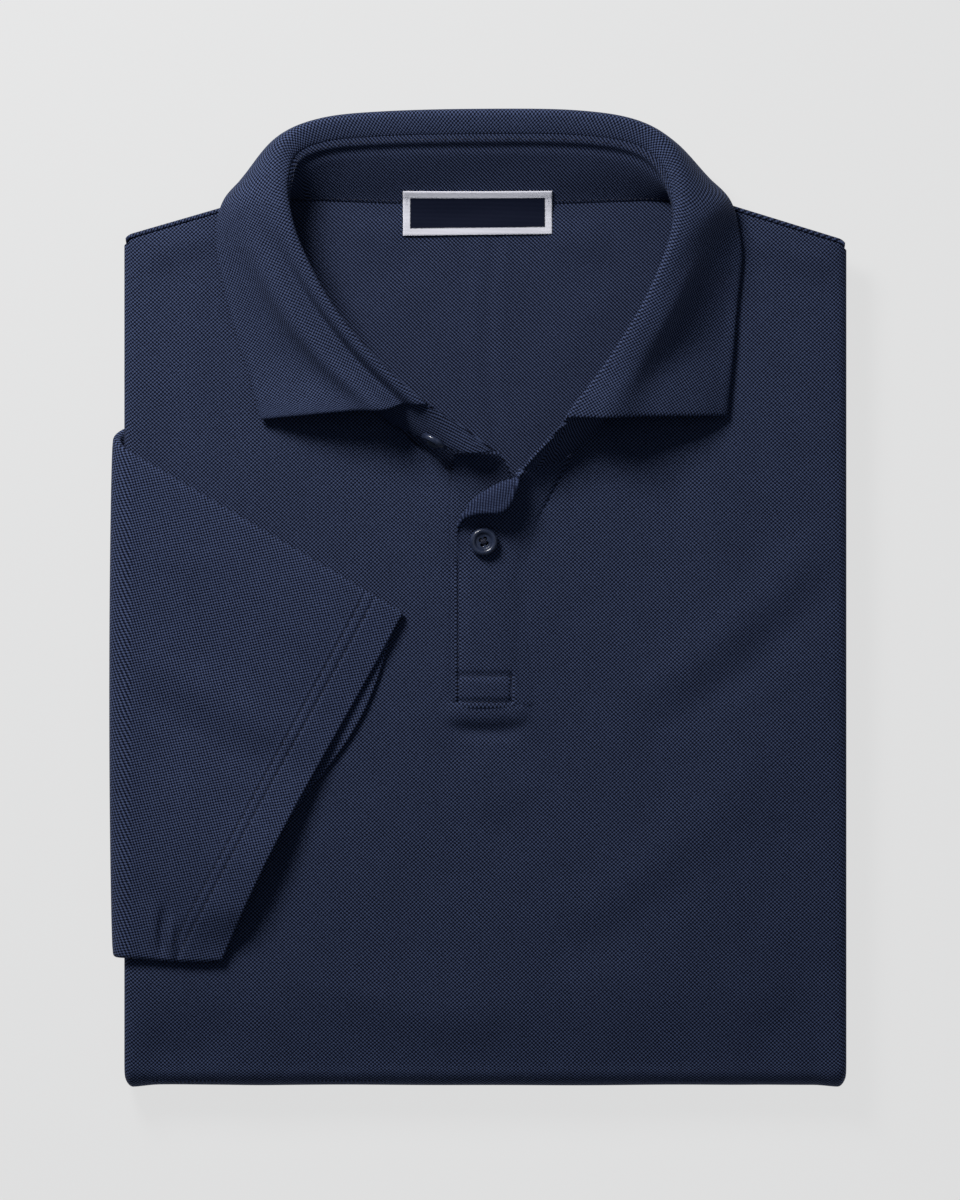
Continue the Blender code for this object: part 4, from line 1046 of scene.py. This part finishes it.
half, hollow = sleeve["thickness"] / 2, sleeve["hollow"] / 2
outer, p, yAlong, fromStitch = sleeveGrid(half, half, False)
inner = sleeveGrid(hollow, half + 0.9, True)[0]
stations, around = outer.shape[:2]
index = np.arange(stations * around).reshape(stations, around)
nextOne = np.roll(index, -1, axis=1)
walls = np.stack([index[:-1], nextOne[:-1], nextOne[1:], index[1:]], -1).reshape(-1, 4)
inside = stations * around
ends = [np.stack([index[k], index[k] + inside, nextOne[k] + inside, nextOne[k]], -1)[:, ::way]
        for k, way in ((0, 1), (-1, -1))]
faces = np.concatenate([walls, walls[:, ::-1] + inside, *ends])
grain = math.radians(sleeve["weaveTurn"])
weaveU = p * math.cos(grain) + yAlong * math.sin(grain)
weaveV = -p * math.sin(grain) + yAlong * math.cos(grain)
weave = np.stack([weaveU, weaveV], -1)
sleeveRight = addMesh("sleeveRight", np.concatenate([outer, inner]), faces, sleeveCloth,
                      np.concatenate([weave, weave]))
print("sleeve ready")

# woven label: level on the back below the neck seam, bent up against the stand above it

label = {"left": -31.6, "right": 29.6, "tilt": 0.012, "wall": 0.8, "footY": 149.7}
x = label["left"] + (label["right"] - label["left"]) * edged(70, 61.0)
rows = [np.stack([x, yRow + label["tilt"] * x, np.full(len(x), backTop + 0.3 + label["wall"] / 2)], 1)
        for yRow in (label["footY"], 154.5, 159.0)]
nearLabel = standGrid(np.linspace(7.0, 13.0, 121), np.array([0.07, 0.13, 0.19, 0.25]))
clear = normalsOf(nearLabel, np.array([0, -1.0, 1.0])) * (collar["standWall"] / 2 + 0.3 + label["wall"] / 2)
for k in range(3):
    line = (nearLabel + clear)[:, k]
    rows.append(np.stack([x, np.interp(x, line[:, 0], line[:, 1]), np.interp(x, line[:, 0], line[:, 2])], 1))
controls = np.array(rows)
t = edged(34, 19.0) * 5
grid = np.stack([curveAt(controls[:, k], t) for k in range(len(x))], 1)
grid[..., 2] += 0.25 * np.sin(grid[..., 0] / 7.0) * bell(grid[..., 1] - 156.0, 5.0)
u, v = lengths(grid)
labelWide, labelTall = float(u[0, -1]), float(v[:, 35].max())
wovenLabel = clothShell("wovenLabel", grid, label["wall"], np.stack([u, v * labelTall / v[-1:]], -1),
                        labelMaterial(labelWide, labelTall))
labelKept = grid
print("label ready")

# buttons

button = {"radius": 5.65, "height": 2.6, "holeRadius": 0.8, "holePitch": 1.4, "sides": 72}


def turnedButton(name, centre, tilt, turn):
    r, h = button["radius"], button["height"]
    profile = curveAt([
        # radius, height: flat back, rounded side, raised rim, dished middle
        (0.0, 0.0), (r - 1.4, 0.0), (r - 0.5, 0.25), (r, 1.0), (r - 0.1, 1.8), (r - 0.7, h - 0.08),
        (r - 1.3, h), (r - 1.9, h - 0.25), (r - 2.5, h - 0.9), (r - 3.1, h - 1.12), (0.0, h - 1.15),
    ], np.linspace(0, 10, 61))
    turns = np.arange(button["sides"]) * 2 * math.pi / button["sides"]
    ring = profile[1:-1]
    points = np.stack([ring[:, :1] * np.cos(turns), ring[:, :1] * np.sin(turns),
                       np.broadcast_to(ring[:, 1:], (len(ring), len(turns)))], -1).reshape(-1, 3)
    made = addMesh(name, points, ringFaces(len(ring), len(turns)), buttonPolish)
    cutters = []
    for k in range(4):
        angle = math.pi / 4 + k * math.pi / 2
        place = np.array([math.cos(angle), math.sin(angle), 0]) * button["holePitch"]
        hole = tubeAlong(place + np.linspace([0, 0, -2.0], [0, 0, 5.0], 2), button["holeRadius"], 24)
        cutter = addMesh("cutter", *hole, buttonPolish)
        cut = made.modifiers.new("hole", "BOOLEAN")
        cut.object = cutter
        cutters.append(cutter)
    graph = bpy.context.evaluated_depsgraph_get()
    cutMesh = bpy.data.meshes.new_from_object(made.evaluated_get(graph))
    made.modifiers.clear()
    made.data = cutMesh
    for cutter in cutters:
        bpy.data.objects.remove(cutter)
    rx, rz = math.radians(tilt), math.radians(turn)
    spin = np.array([[math.cos(rz), -math.sin(rz), 0], [math.sin(rz), math.cos(rz), 0], [0, 0, 1]])
    lean = np.array([[1, 0, 0], [0, math.cos(rx), -math.sin(rx)], [0, math.sin(rx), math.cos(rx)]])
    matrix = spin @ lean
    co = np.empty(len(cutMesh.vertices) * 3)
    cutMesh.vertices.foreach_get("co", co)
    cutMesh.vertices.foreach_set("co", (co.reshape(-1, 3) @ matrix.T + np.array(centre) / 1000).ravel())
    cutMesh.update()
    strands = []
    for side, other in ((0, 2), (1, 3)):
        for shift in (-0.28, 0.0, 0.28):
            a0, a1 = (math.pi / 4 + k * math.pi / 2 for k in (side, other))
            start = np.array([math.cos(a0), math.sin(a0)]) * button["holePitch"]
            end = np.array([math.cos(a1), math.sin(a1)]) * button["holePitch"]
            s = np.linspace(0, 1, 14)[:, None]
            flat = start * (1 - s) + end * s + np.array([-start[1], start[0]]) / button["holePitch"] * shift
            z = h - 1.15 + 0.35 + 0.25 * (side == 1) - 1.6 * np.abs(2 * s - 1)**6
            strands.append(tubeAlong(np.hstack([flat, z]), 0.17, 6))
    threadPoints, threadFaces = joined(strands)
    threads = addMesh(name + "Thread", threadPoints @ matrix.T + np.array(centre), threadFaces, shadedNavyThread)
    return made, threads


buttonPolish = buttonMaterial()
buttonZ = upperZ + placket["wall"] / 2 + 1.0
placketButton, placketThread = turnedButton("buttonPlacket", (1.5, 23.9, buttonZ), 0, 20)
collarButton, collarThread = turnedButton("buttonCollar", (-18.2, 65.6, 26.5), 80, -32)
print("buttons ready")

# stitching

stitch = {"pitch": 2.3, "length": 1.6, "radius": 0.17}


# a line drawn in x and y on the upper face of a cloth that is a height over x and y
def drawnOn(grid, line, lift, spacing=0.8):
    line = np.asarray(line, float)
    s = np.concatenate([[0], np.cumsum(np.linalg.norm(np.diff(line, axis=0), axis=1))])
    at = np.arange(0, s[-1] + 1e-6, spacing)
    xy = np.stack([np.interp(at, s, line[:, k]) for k in range(2)], 1)
    flat = grid.reshape(-1, 3)
    z = np.empty(len(xy))
    for k, place in enumerate(xy):
        near = np.argsort(((flat[:, :2] - place)**2).sum(axis=1))[:6]
        weight = 1 / (((flat[near, :2] - place)**2).sum(axis=1) + 0.05)
        z[k] = (flat[near, 2] * weight).sum() / weight.sum()
    z = np.convolve(np.pad(z, 2, mode="edge"), np.ones(5) / 5, "valid")
    return np.column_stack([xy, z + lift]), np.tile(up, (len(xy), 1))


def sewLines(name, lines, material, slot, **sizes):
    points, faces = stitchesAlong(lines, **{**stitch, **sizes})
    made = addMesh(name, points, faces, material)
    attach(made, "root")
    return made


halfWall = collar["standWall"] / 2
u = lengths(standKept)[0]
rowCount, columnCount = u.shape
backRows = np.arange(int(rowCount * 0.2), int(rowCount * 0.8))
below = np.array([np.interp(u[k, -1] - 2.4, u[k], np.arange(columnCount)) for k in backRows])
topSeam = onGrid(standKept, standNormals, backRows, below, halfWall + 0.05)
footRows = np.arange(int(rowCount * 0.28), int(rowCount * 0.72))
footSeam = onGrid(standKept, standNormals, footRows, 4.5, halfWall + 0.02)
standStitches = sewLines("standStitches", [topSeam, footSeam], shadedNavyThread, "collar_cloth")

topFace = body["wall"] / 2
placketLines = [
    # the free edge's row, then the box: its top, its foot and its right side
    [(boxLeft, 20.0), (boxLeft, boxFoot)],
    [(boxLeft, boxTop), (boxRight, boxTop)],
    [(boxLeft, boxFoot), (boxRight, boxFoot)],
    [(boxRight, boxTop), (boxRight, boxFoot)],
]
shown = upperKept[:, 8:]
placketStitches = sewLines("placketStitches", [drawnOn(shown, line, topFace) for line in placketLines],
                           shadedNavyThread, "body_cloth")
seamX = np.linspace(-140.0, -86.5, 60), np.linspace(89.0, 145.0, 60)
seamLines = [drawnOn(frontGridTop, np.stack([sx, frontTopY(sx) - 1.3], 1), topFace) for sx in seamX]
shoulderStitches = sewLines("shoulderStitches", seamLines, shadedNavyThread, "body_cloth")

upperCount = 76
hemLines = []
sleeveTop = outer[:, :upperCount]
sleeveNormals = normalsOf(sleeveTop)
for line in hemRows:
    columns = np.linspace(1.0, upperCount - 2.0, 150)
    whole = np.arange(upperCount)
    rowOf = np.array([np.interp(-line, -fromStitch[:, k], np.arange(stations)) for k in whole])
    hemLines.append(onGrid(sleeveTop, sleeveNormals, np.interp(columns, whole, rowOf), columns, 0.05))
sleeveStitches = sewLines("sleeveStitches", hemLines, shadedNavyThread, "sleeve_cloth", radius=0.24)

labelLift = label["wall"] / 2 + 0.05
labelEnds = [onGrid(labelKept, normalsOf(labelKept), np.linspace(20.0, 26.0, 12), column, labelLift)
             for column in (4.0, labelKept.shape[1] - 5.0)]
labelStitches = sewLines("labelStitches", labelEnds, whiteThread, "woven_label",
                         pitch=1.1, length=1.0, radius=0.16)
print("stitching ready")

# what each piece stands for: each is hung on the root and hides the part it stands for

pieces = [
    # piece, node, slot
    (frontPanel, "front", "body_cloth"),
    (backPanel, "back", "body_inner"),
    (foldedLayers, "folded_layers", "hidden_cloth"),
    (collarStand, "collar_stand", "collar_cloth"),
    (collarLeaf, "collar_leaf", "collar_cloth"),
    (placketUpper, "placket_upper", "body_cloth"),
    (placketUnder, "placket_under", "body_cloth"),
    (sleeveRight, "sleeve_right", "sleeve_cloth"),
    (wovenLabel, "label", "woven_label"),
    (placketButton, "button_placket", "button_plastic"),
    (collarButton, "button_collar", "button_plastic"),
]
for piece, node, slotName in pieces:
    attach(piece, "root")
    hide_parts(node)
for threads in (placketThread, collarThread):
    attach(threads, "root")
